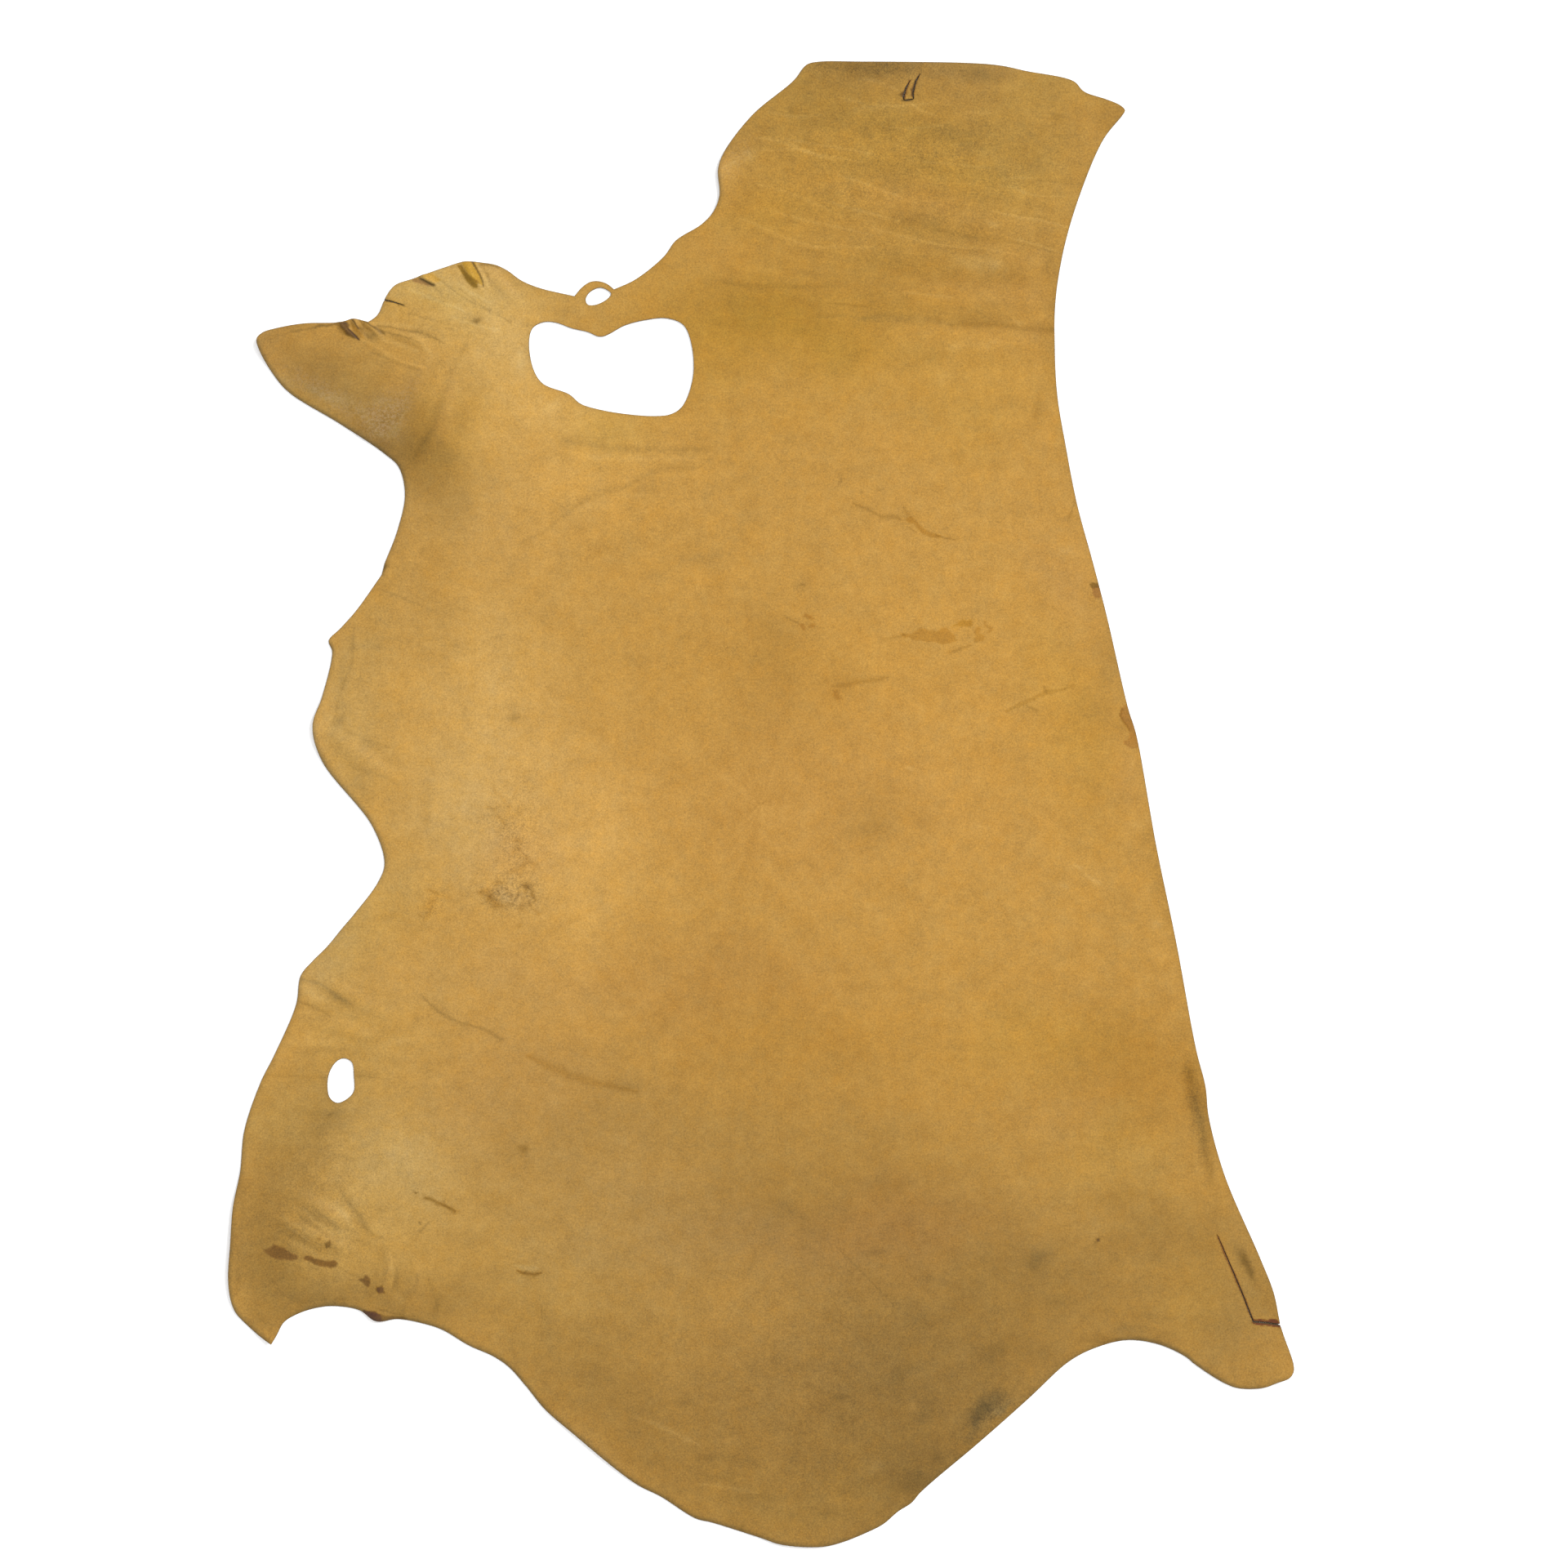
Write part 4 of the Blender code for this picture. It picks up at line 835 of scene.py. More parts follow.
# Patches with an outline: healed scars, raw places, the painted light and shade on facets of folds,
# and dark cuts whose raw walls carry painted shade. Each has the shares of red, green and blue that
# it keeps, how soft its outline is, then its corners: across, along.
PATCHES = {
    "scar 1": ((0.8, 0.75, 0.765), 3, (
        (51, 435), (57, 437), (62, 440), (67, 443), (74, 441), (81, 439), (86, 434), (92, 430),
        (100, 429), (102, 424), (100, 421), (92, 420), (80, 421), (70, 422), (64, 424), (58, 428),
        (53, 432))),
    "scar 2": ((0.72, 0.665, 0.635), 3, (
        (110, 424), (115, 427), (121, 427), (127, 423), (133, 421), (139, 420), (147, 419), (157, 420),
        (160, 416), (158, 411), (151, 409), (141, 410), (133, 412), (124, 415), (116, 419), (111, 421))),
    "scar 3": ((0.73, 0.69, 0.7), 3, (
        (190, 391), (194, 393), (198, 394), (200, 398), (204, 397), (208, 391), (208, 384), (204, 380),
        (200, 383), (197, 387))),
    "scar 4": ((0.68, 0.63, 0.43), 3.5, (
        (217, 381), (222, 381), (226, 383), (228, 380), (228, 375), (230, 372), (225, 371), (220, 372),
        (217, 376))),
    "scar star": ((0.74, 0.715, 0.68), 3, (
        (141, 446), (146, 447), (149, 451), (151, 446), (149, 440), (143, 438), (142, 442))),
    "scar speck": ((0.86, 0.83, 0.8), 3, ((131, 453), (134, 455), (136, 452), (134, 450))),
    "back patch": ((0.935, 0.895, 0.785), 2.5, (
        (986, 1341), (996, 1341), (1003, 1340), (1009, 1344), (1014, 1348), (1021, 1348), (1028, 1346),
        (1035, 1346), (1040, 1343), (1047, 1348), (1053, 1349), (1059, 1346), (1062, 1340),
        (1067, 1338), (1067, 1333), (1071, 1330), (1062, 1328), (1055, 1325), (1048, 1325),
        (1040, 1327), (1030, 1329), (1018, 1330), (1008, 1331), (1000, 1334), (992, 1334))),
    "back patch, small": ((0.935, 0.9, 0.73), 2.5, (
        (1072, 1357), (1077, 1361), (1083, 1360), (1091, 1361), (1093, 1354), (1089, 1350),
        (1080, 1351), (1070, 1352), (1062, 1350), (1066, 1354))),
    "back patch, ragged": ((0.94, 0.905, 0.8), 2.5, (
        (1094, 1328), (1097, 1337), (1095, 1343), (1099, 1350), (1104, 1350), (1103, 1341),
        (1110, 1338), (1109, 1331), (1102, 1328))),
    "back patch, flecks": ((0.95, 0.92, 0.84), 2.5, (
        (1109, 1360), (1114, 1358), (1112, 1354), (1119, 1351), (1124, 1346), (1118, 1342),
        (1114, 1343), (1117, 1348), (1110, 1351))),
    "shoulder patch": ((0.915, 0.875, 0.76), 3, (
        (994, 1510), (1003, 1513), (1010, 1507), (1016, 1500), (1023, 1494), (1030, 1490), (1038, 1487),
        (1048, 1485), (1044, 1481), (1030, 1482), (1020, 1486), (1013, 1493), (1006, 1502), (998, 1504))),
    "rib streak": ((0.93, 0.915, 0.86), 2, (
        (1139, 1227), (1149, 1232), (1160, 1239), (1172, 1244), (1184, 1249), (1197, 1256),
        (1202, 1259), (1216, 1259), (1230, 1261), (1230, 1258), (1216, 1255), (1206, 1251),
        (1192, 1247), (1178, 1240), (1166, 1234), (1152, 1229), (1142, 1224))),
    "loin patch 1": ((0.91, 0.87, 0.8), 2, (
        (843, 1366), (848, 1370), (855, 1367), (861, 1362), (856, 1360), (850, 1363))),
    "loin patch 2": ((0.91, 0.87, 0.8), 2, (
        (850, 1352), (856, 1355), (862, 1354), (861, 1350), (853, 1350))),
    "loin patch 3": ((0.92, 0.88, 0.82), 2, (
        (837, 1355), (843, 1355), (848, 1349), (845, 1344), (841, 1349))),
    "loin patch 4": ((0.93, 0.9, 0.84), 4, (
        (888, 1258), (895, 1258), (897, 1248), (902, 1243), (892, 1244), (887, 1251))),
    "backbone patch, head": ((0.735, 0.715, 0.6), 2, (
        (1264, 1414), (1270, 1415), (1279, 1415), (1280, 1408), (1268, 1407))),
    "backbone patch, body": ((0.89, 0.84, 0.86), 2, (
        (1269, 1408), (1280, 1409), (1284, 1399), (1280, 1394), (1273, 1392), (1269, 1399))),
    "backbone patch, lower": ((0.9, 0.855, 0.83), 2, (
        (1314, 1235), (1326, 1235), (1344, 1180), (1334, 1172), (1325, 1172), (1315, 1178),
        (1314, 1182), (1318, 1184), (1322, 1187), (1324, 1196), (1322, 1202), (1315, 1211),
        (1309, 1219), (1310, 1228))),
    "backbone patch, rim": ((0.9, 0.87, 0.76), 1.5, (
        (1312, 1233), (1308, 1221), (1313, 1211), (1319, 1203), (1322, 1197), (1325, 1199),
        (1321, 1205), (1315, 1213), (1311, 1220), (1315, 1231))),
    # Painted shade in the pleat's hollow
    "pleat hollow": ((0.6, 0.58, 0.46), 4, (
        (162, 1796), (172, 1800), (177, 1794), (177, 1788), (185, 1780), (191, 1773), (183, 1774),
        (173, 1780), (169, 1786), (164, 1791))),
    "flap shade": ((0.77, 0.73, 0.52), 2.5, (
        (335, 1882), (342, 1883), (348, 1873), (356, 1865), (367, 1857), (366, 1849), (359, 1848),
        (349, 1858), (342, 1870))),
    # Painted light on the throat flap's lit facet
    "flap": ((0.93, 0.895, 0.62), 2, (
        (342, 1886), (360, 1890), (366, 1875), (372, 1864), (373, 1852), (368, 1854), (357, 1864),
        (348, 1874))),
    "tuck shade": ((0.83, 0.78, 0.8), 3, (
        (268, 1863), (281, 1862), (300, 1852), (291, 1851), (277, 1856), (270, 1858))),
    "tuck lit": ((0.99, 0.94, 0.74), 4, (
        (283, 1868), (296, 1872), (312, 1860), (303, 1855), (290, 1861))),
    "rump lip": ((0.82, 0.8, 0.68), 2.5, (
        (198, 347), (206, 346), (214, 345), (220, 342), (232, 339), (244, 338), (258, 337), (262, 334),
        (240, 328), (214, 324), (196, 338))),
    "rump lip, raw": ((0.8, 0.76, 0.66), 2.5, (
        (198, 347), (206, 346), (214, 345), (219, 342), (224, 340), (226, 328), (206, 328), (196, 338))),
    "rump lip, red": ((0.88, 0.85, 0.85), 3, (
        (203, 345), (211, 344.5), (218, 341), (221, 339), (216, 337), (209, 340))),
    # The tail cut's dark raw walls, with painted shade inside the cut
    "tail cut, band": ((0.66, 0.51, 0.27), 1.5, (
        (1503, 334), (1512, 333.5), (1524, 333), (1534, 334), (1539, 333), (1546, 328), (1552, 324),
        (1552, 319), (1540, 322), (1526, 324), (1512, 325), (1504, 326))),
    "tail cut, line": ((0.74, 0.63, 0.44), 1.5, (
        (1451, 459), (1454, 455), (1470, 419), (1489, 376), (1501, 345), (1506, 334), (1502, 334),
        (1498, 344), (1485, 376), (1466, 419), (1452, 453))),
    # The tongue's slits: torn raw edges with painted shade in them
    "tongue, left": ((0.66, 0.57, 0.42), 1.6, (
        (1003, 2154), (1000, 2153), (996, 2147), (993, 2140), (990, 2134), (989, 2129), (991, 2126),
        (994, 2127), (995, 2133), (997, 2141), (1000, 2148))),
    "tongue, left side": ((0.74, 0.72, 0.72), 2, (
        (988, 2136), (992, 2138), (992, 2130), (989, 2129), (984, 2131))),
    "tongue, right": ((0.64, 0.6, 0.56), 1.6, (
        (1016, 2164), (1012, 2160), (1008, 2153), (1005, 2146), (1002, 2139), (1002, 2131),
        (1004, 2128), (1006, 2129), (1008, 2137), (1009, 2144), (1011, 2151), (1014, 2158))),
}

# Places where the grain shows more strongly.
# Columns: across, along, turn in degrees, half length, half width, amount.
WORN = {
    "rump smudge": (1116, 198, 45, 48, 22, 1),
    "backbone band": (1420, 640, -81, 80, 12, 0.7),
    "neck cut": (965, 2170, 0, 150, 14, 0.6),
    "neck": (1000, 2040, -5, 330, 160, 0.45),
    "flank abrasion": (415, 960, 0, 60, 34, 1),
    "rump": (900, 200, 0, 420, 260, 0.35),
    "hind shank": (120, 480, 60, 160, 110, 0.4),
    "flank abrasion, above": (422, 1050, 90, 75, 40, 0.7),
    "flank abrasion, left": (300, 945, 60, 34, 20, 0.7),
}

# Places with a dry, pale, cracked finish. The same columns.
SCUFFED = {
    "fore shank, belly side": (150, 1690, -30, 100, 18, 0.8),
    "fore shank, root": (228, 1658, 60, 44, 34, 1),
    "fore shank, fold": (262, 1690, 60, 60, 14, 0.5),
    "neck side": (745, 2036, 50, 40, 20, 0.5),
}

# Places where fine wrinkles run across the side. The same columns.
WRINKLED = {
    "neck": (1010, 2010, -5, 360, 200, 1),
    "lower neck": (1010, 1830, 0, 300, 80, 0.7),
    "throat": (330, 1815, -20, 130, 60, 0.7),
    "fore shank": (180, 1730, -30, 140, 70, 0.6),
    "shoulder": (760, 1610, 0, 300, 70, 0.3),
    "thigh": (180, 760, 0, 150, 110, 0.4),
    "hind shank": (120, 470, -20, 150, 90, 0.4),
}

GRAIN, FLESH, CUT_EDGE = range(3)
# Rows of points down the edge: how far up each lies, as a share of the thickness, and how far it
# stands out in millimetres.
EDGE_ROWS = ((0.82, 0.25), (0.18, 0.25))
# A knife cut is this share of its width at the flesh side, so its slanting walls close it.
CUT_FOOT = 0.05
CUT_STEP = 4.0
LINE_STEP = 5.0
# How far from a drawn form its distance is worked out, in millimetres.
RIM_REACH = 30.0
PATCH_REACH = 14.0
LINE_REACH = 12.0
RUN_SIDES = 16
# A drawn line's bell curve falls off over this share of its width.
LINE_SPREAD = 0.64
# The least width of a drawn line, and how many widths away all far points count as.
LEAST_WIDTH = 0.5
FAR_OUT = 9.0
SMALLEST_CELL = 1.6
# Cells of the grain side and of the flesh side: their size at an edge, how much it grows for each
# millimetre from there, its share of a fold's half width, and its least on a fold.
FINE_CELLS = (2.6, 0.5, 0.25, 2.0)
COARSE_CELLS = (3.4, 0.8, 0.36, 4.0)
# A cell's share of a blotch's half width and of a line's width, and its growth from a patch's outline.
BLOTCH_CELL = 0.55
LINE_CELL = 0.5
PATCH_GROWTH = 0.6
# Edges between faces that meet at a wider angle are sharp, in degrees.
SHARP_ANGLE = 50.0

# How far drawn forms waver and over what length, in millimetres.
TONE_WAVER = (16.0, 300.0)
BLOTCH_WAVER = (2.0, 34.0)
LINE_WAVER = (0.45, 13.0)
# Painted shade of the rounded edge: its darkening at the very edge, what is added where it looks away
# from the light, its width in millimetres, its shares of red, green and blue, and the way to the
# shaded side.
RIM_SHADE = 0.03
RIM_FACING_SHADE = 0.27
RIM_SHADE_WIDTH = 4.0
RIM_SHADE_TINT = np.array((1.0, 0.86, 0.45))
SHADE_WAY = (-0.64, -0.77)
SCUFF_SHARE = 0.42

FLOOR_SIZE = 40.0
FLOOR_GAP = 0.0004
SKY_LIGHT = 1.15
# Columns: name, turn and lean in degrees, strength, width of the source in degrees.
KEY_LIGHTS = (("key light", 35.0, 50.0, 2.6, 24.0),)


def all_rows(table):
    """The rows of a table whose names hold one or more rows each."""
    return [row for rows in table.values() for row in rows]


def smooth_piece(before, start, end, after, steps):
    """Points from start up to end on the centripetal spline through the four stations.

    The spline's speed at a station is the difference quotient over its two neighbours, each gap
    counted as the square root of its length. A cubic then joins the two speeds.
    """
    gaps = [math.sqrt(np.linalg.norm(b - a)) for a, b in ((before, start), (start, end), (end, after))]
    back, mid, fore = (max(gap, 1e-6) for gap in gaps)
    leave = (start - before) / back - (end - before) / (back + mid) + (end - start) / mid
    arrive = (end - start) / mid - (after - start) / (mid + fore) + (after - end) / fore
    t = np.linspace(0.0, 1.0, steps, endpoint=False)[:, None]
    return (
        start * (2 * t**3 - 3 * t**2 + 1)
        + end * (3 * t**2 - 2 * t**3)
        + leave * mid * (t**3 - 2 * t**2 + t)
        + arrive * mid * (t**3 - t**2)
    )


def edge_loop(stations, step):
    """The closed loop through the stations, sharp at marked corners and smooth elsewhere."""
    places = [np.array(row[:2], float) for row in stations]
    corner = [CORNER_MARK in row for row in stations]
    count = len(places)
    pieces = []
    for i in range(count):
        before, start, end, after = (places[(i + k) % count] for k in (-1, 0, 1, 2))
        if corner[i]:
            before = 2 * start - end
        if corner[(i + 1) % count]:
            after = 2 * end - start
        steps = max(1, round(np.linalg.norm(end - start) / step))
        pieces.append(smooth_piece(before, start, end, after, steps))
    return np.concatenate(pieces)


def drawn_curve(rows):
    """Rows of across, along and width on the smooth open curve through a line's stations."""
    stations = [np.array(row, float) for row in rows]
    stations = [2 * stations[0] - stations[1]] + stations + [2 * stations[-1] - stations[-2]]
    pieces = []
    for i in range(1, len(stations) - 2):
        steps = max(1, round(np.linalg.norm(stations[i + 1] - stations[i]) / LINE_STEP))
        pieces.append(smooth_piece(*stations[i - 1 : i + 3], steps))
    return np.concatenate(pieces + [stations[-2][None, :]])


def anticlockwise(loop):
    """The loop itself where its signed area is above zero, and its reverse where it is below."""
    ahead = np.roll(loop, -1, axis=0)
    area = (loop[:, 0] * ahead[:, 1] - loop[:, 1] * ahead[:, 0]).sum()
    return loop if area > 0 else loop[::-1]


def cut_loop(rows, share):
    """The thin closed loop round a cut: its line, moved a share of half its width to each side."""
    stations = np.array(rows, float)
    pieces = []
    for start, end in zip(stations[:-1], stations[1:]):
        steps = max(1, round(np.linalg.norm(end[:2] - start[:2]) / CUT_STEP))
        t = np.linspace(0.0, 1.0, steps, endpoint=False)[:, None]
        pieces.append(start + (end - start) * t)
    line = np.concatenate(pieces + [stations[-1:]])
    heading = np.gradient(line[:, :2], axis=0)
    heading /= np.linalg.norm(heading, axis=1)[:, None]
    aside = np.stack([-heading[:, 1], heading[:, 0]], axis=1) * line[:, 2:] * share / 2
    return np.concatenate([line[:, :2] + aside, (line[:, :2] - aside)[::-1]])


def oval_share(points, row, bow=0.0):
    """How far out each point lies on an oval that bows along its length: 0 mid, 1 at its foot."""
    across, along, turn, half_length, half_width = row[:5]
    angle = math.radians(turn)
    x = points[:, 0] - across
    y = points[:, 1] - along
    u = (x * math.cos(angle) + y * math.sin(angle)) / half_length
    v = (y * math.cos(angle) - x * math.sin(angle) - bow * u**2) / half_width
    return np.hypot(u, v)


def relief(points):
    """Height of the sheet's underside: each fold adds a squared cosine that ends at its foot."""
    height = np.zeros(len(points))
    for fold in FOLDS.values():
        share = np.minimum(oval_share(points, fold, fold[BOW]), 1.0)
        height += fold[HEIGHT] * np.cos(share * math.pi / 2) ** 2
    return height


def fading(points, rows, column):
    """Sum over the rows' ovals of their column times the bell curve of the distance out."""
    total = np.zeros(len(points))
    for row in rows:
        total += row[column] * np.exp(-FALLOFF * oval_share(points, row) ** 2)
    return total


def wavering(points, amount, size):
    """The points moved aside by sines of their place, so that drawn forms get uneven outlines.

    Each of five waves runs its own way, is shorter than the one before and moves the points less.
    The numbers only spread the ways and the phases.
    """
    moved = points.copy()
    for number in range(5):
        part = 0.62**number
        run = 0.7 + 2.4 * number
        push = 1.1 + 4.1 * number
        phase = (points[:, 0] * math.cos(run) + points[:, 1] * math.sin(run)) * 2 * math.pi / (size * part)
        swing = amount * part * np.sin(phase + 1.3 * number)
        moved += swing[:, None] * (math.cos(push), math.sin(push))
    return moved


def nearest_sides(points, loops, reach):
    """Millimetres from each point to the loops' nearest side, at most the reach, and its facing.

    The sides are taken in short runs, each against the points near it alone. The distance to a
    side is that to the foot of the perpendicular, or to an end where the foot lies beyond it. The
    facing is 1 where the side is of the first loop and looks away from the light, and 0 where it
    looks across the light or towards it.
    """
    nearest = np.full(len(points), float(reach))
    facing = np.zeros(len(points))
    for number, loop in enumerate(loops):
        faced = 1.0 if number == 0 else 0.0
        ahead = np.roll(loop, -1, axis=0)
        for first in range(0, len(loop), RUN_SIDES):
            start, end = loop[first : first + RUN_SIDES], ahead[first : first + RUN_SIDES]
            low = np.minimum(start, end).min(axis=0) - reach
            high = np.maximum(start, end).max(axis=0) + reach
            near = np.flatnonzero(((points > low) & (points < high)).all(axis=1))
            run = end - start
            long = np.maximum(np.linalg.norm(run, axis=1), 1e-5)
            here = points[near, None, :] - start
            t = np.clip((here * run).sum(axis=2) / long**2, 0.0, 1.0)
            away = np.sqrt(((here - t[:, :, None] * run) ** 2).sum(axis=2))
            side = away.argmin(axis=1)
            away = away[np.arange(len(near)), side]
            closer = away < nearest[near]
            outward = (run[:, 1] * SHADE_WAY[0] - run[:, 0] * SHADE_WAY[1]) / long
            nearest[near[closer]] = away[closer]
            facing[near[closer]] = faced * outward[side[closer]]
    return nearest, np.maximum(facing, 0.0)


def is_inside(points, loop):
    """Whether a line from each point towards +X crosses the loop an odd number of times."""
    x, y = points.T
    inside = np.zeros(len(points), bool)
    for (start_x, start_y), (end_x, end_y) in zip(loop, np.roll(loop, -1, axis=0)):
        if start_y != end_y:
            crossing = start_x + (y - start_y) / (end_y - start_y) * (end_x - start_x)
            inside ^= ((start_y > y) != (end_y > y)) & (x < crossing)
    return inside


def inside_outline(points, corners):
    """Millimetres inside a patch's outline, below zero outside, and the reach below where far."""
    loop = np.array(corners, float)
    depth = -nearest_sides(points, [loop], PATCH_REACH)[0]
    near = np.flatnonzero(depth > -PATCH_REACH)
    depth[near[is_inside(points[near], loop)]] *= -1
    return depth


def beside_line(points, rows):
    """Distance from a drawn line over its width there, and the width. Far points count as far out."""
    curve = drawn_curve(rows)
    share = np.full(len(points), FAR_OUT)
    width = np.full(len(points), LINE_REACH)
    low = curve[:, :2].min(axis=0) - LINE_REACH
    high = curve[:, :2].max(axis=0) + LINE_REACH
    near = np.flatnonzero(((points > low) & (points < high)).all(axis=1))
    for start, end in zip(curve[:-1], curve[1:]):
        run = end[:2] - start[:2]
        here = points[near] - start[:2]
        t = np.clip((here @ run) / max(run @ run, 1e-9), 0.0, 1.0)
        wide = np.maximum(start[2] + (end[2] - start[2]) * t, LEAST_WIDTH)
        out = np.linalg.norm(here - t[:, None] * run, axis=1) / (LINE_SPREAD * wide)
        closer = out < share[near]
        share[near[closer]] = out[closer]
        width[near[closer]] = wide[closer]
    return share, width


def wanted_cell(points, loops, sizes, fine):
    """The cell size that a layer needs at each point, and the distance from its edges.

    The upper layer is fine at folds, cuts, edges and all that is drawn; the lower one needs less.
    """
    rim_distance, _ = nearest_sides(points, loops, RIM_REACH)
    cell = np.full(len(points), (sizes.cell if fine else sizes.lower_cell) / MM)
    edge_cell, growth, fold_share, fold_least = FINE_CELLS if fine else COARSE_CELLS
    for fold in FOLDS.values():
        on_fold = oval_share(points, fold, fold[BOW]) < 1.1
        cell[on_fold] = np.minimum(cell[on_fold], max(fold_least, fold[4] * fold_share))
    cell = np.minimum(cell, edge_cell + growth * rim_distance)
    if not fine:
        return cell, rim_distance
    for row in all_rows(BLOTCHES):
        on_blotch = oval_share(points, row) < 1.5
        cell[on_blotch] = np.minimum(cell[on_blotch], max(SMALLEST_CELL, BLOTCH_CELL * row[4]))
    for row in all_rows(LINES):
        share, width = beside_line(points, row[-1])
        on_line = share < 1.9
        cell[on_line] = np.minimum(cell[on_line], np.maximum(SMALLEST_CELL, LINE_CELL * width[on_line]))
    for row in PATCHES.values():
        away = np.abs(inside_outline(points, row[-1]))
        cell = np.minimum(cell, SMALLEST_CELL + PATCH_GROWTH * away)
    return cell, rim_distance


def seed_points(loops, sizes, fine):
    """Middles of square cells that are halved, level by level, down to the wanted size."""
    cell = (sizes.cell if fine else sizes.lower_cell) / MM
    low = loops[0].min(axis=0)
    columns, rows = np.ceil((loops[0].max(axis=0) - low) / cell).astype(int)
    x, y = np.meshgrid(np.arange(columns) + 0.5, np.arange(rows) + 0.5)
    middles = np.stack([x.ravel(), y.ravel()], axis=1) * cell + low
    quarter = np.array([(-1, -1), (1, -1), (-1, 1), (1, 1)], float) / 4
    seeds = []
    while len(middles):
        wanted, rim_distance = wanted_cell(middles, loops, sizes, fine)
        finer = (wanted < 0.8 * cell) & (cell > SMALLEST_CELL)
        seeds.append(middles[~finer & (rim_distance > 0.4 * cell)])
        middles = (middles[finer][:, None, :] + quarter * cell).reshape(-1, 2)
        cell /= 2
    return np.concatenate(seeds)


def filled(loops, seeds):
    """Points and triangles between the loops. The loops' own points come first, in their order."""
    numbers = np.cumsum([0] + [len(loop) for loop in loops])
    faces = [list(range(a, b)) for a, b in zip(numbers[:-1], numbers[1:])]
    rings = np.concatenate(loops)
    points, _, triangles, _, _, held = delaunay_2d_cdt(
        np.concatenate([rings, seeds]).tolist(), [], faces, 0, 1e-6, True
    )
    points = np.array([point[:] for point in points])
    if not np.allclose(points[: len(rings)], rings, atol=1e-3):
        raise RuntimeError("loops of the leather side touch or cross")
    triangles = np.array(triangles)[np.array([loops_held == [0] for loops_held in held])]
    used, triangles = np.unique(triangles, return_inverse=True)
    if (used[: len(rings)] != np.arange(len(rings))).any():
        raise RuntimeError("a point of the leather side's edge has no triangle")
    return points[used], triangles.reshape(-1, 3)


def ring_outward(ring):
    """Unit directions out of the leather at a ring's points: to the right of the way it runs."""
    run = np.roll(ring, -1, axis=0) - np.roll(ring, 1, axis=0)
    outward = np.column_stack([run[:, 1], -run[:, 0]])
    return outward / np.maximum(np.linalg.norm(outward, axis=1), 1e-9)[:, None]


def notched(ring, wide, narrow):
    """A ring whose points on an open cut give way to the part of the cut's loop inside the ring.

    A ring holds its points at the grain side and at the flesh side, and how far they bulge.
    """
    kept = ~is_inside(ring[0], wide)
    over, under, bulge = (part[kept] for part in ring)
    inner = is_inside(wide, ring[0])
    first = np.flatnonzero(inner & ~np.roll(inner, 1))[0]
    run = np.roll(np.arange(len(wide)), -first)[: inner.sum()][::-1]
    before = np.linalg.norm(over - wide[run[0]], axis=1)
    after = np.linalg.norm(np.roll(over, -1, axis=0) - wide[run[-1]], axis=1)
    spot = (before + after).argmin() + 1
    added = (wide[run], narrow[run], np.zeros(len(run)))
    parts = zip((over, under, bulge), added)
    return tuple(np.concatenate([part[:spot], new, part[spot:]]) for part, new in parts)


def edge_rings(sizes):
    """The rings round the sheet, its holes and its cuts, each anticlockwise."""
    step = sizes.rim_step / MM
    rim = edge_loop([row for rows in EDGE.values() for row in rows], step)
    loops = [anticlockwise(loop) for loop in [rim] + [edge_loop(rows, step) for rows in HOLES.values()]]
    rings = [(loop, loop, np.ones(len(loop))) for loop in loops]
    for rows in CUTS.values():
        wide, narrow = (cut_loop(rows, share) for share in (1.0, CUT_FOOT))
        if (anticlockwise(wide) != wide).any():
            wide, narrow = wide[::-1], narrow[::-1]
        if is_inside(wide, loops[0]).all():
            rings.append((wide, narrow, np.zeros(len(wide))))
        else:
            rings[0] = notched(rings[0], wide, narrow)
    return rings, loops


def closed_sheet(sizes):
    """The sheet with its thickness: corners, faces, their kinds, and the loops of edge and holes.

    The lower layer is the relief. The upper one lies the thickness above it, less the depth of the
    drawn creases. Rows of points run down the edge between them, moved out by its roundness.
    """
    rings, loops = edge_rings(sizes)
    over = [ring[0] for ring in rings]
    under = [ring[1] for ring in rings]
    thick = sizes.thickness / MM
    upper, upper_faces = filled(over, seed_points(over, sizes, True))
    lower, lower_faces = filled(under, seed_points(under, sizes, False))
    layers = [np.column_stack([upper, relief(upper) + thick - crease_depth(upper)]),
              np.column_stack([lower, relief(lower)])]
    lower_faces = lower_faces[:, ::-1] + len(upper)
    wall = []
    first, done = 0, len(upper) + len(lower)
    for number, (top, foot, bulge) in enumerate(rings):
        order = np.arange(len(top)) if number == 0 else np.arange(len(top))[::-1]
        outward = ring_outward(top[order]) * bulge[order][:, None]
        rows = [first + order]
        for share, out in EDGE_ROWS:
            spots = foot[order] + (top - foot)[order] * share + outward * out
            layers.append(np.column_stack([spots, relief(spots) + thick * share]))
            rows.append(done + np.arange(len(top)))
            done += len(top)
        rows.append(len(upper) + first + order)
        for above, below in zip(rows[:-1], rows[1:]):
            above_next, below_next = np.roll(above, -1), np.roll(below, -1)
            wall.append(np.column_stack([above_next, above, below]))
            wall.append(np.column_stack([above_next, below, below_next]))
        first += len(top)
    faces = np.concatenate([upper_faces, lower_faces] + wall)
    sides = len(faces) - len(upper_faces) - len(lower_faces)
    kinds = np.repeat([GRAIN, FLESH, CUT_EDGE], [len(upper_faces), len(lower_faces), sides])
    return np.concatenate(layers), faces, kinds, loops


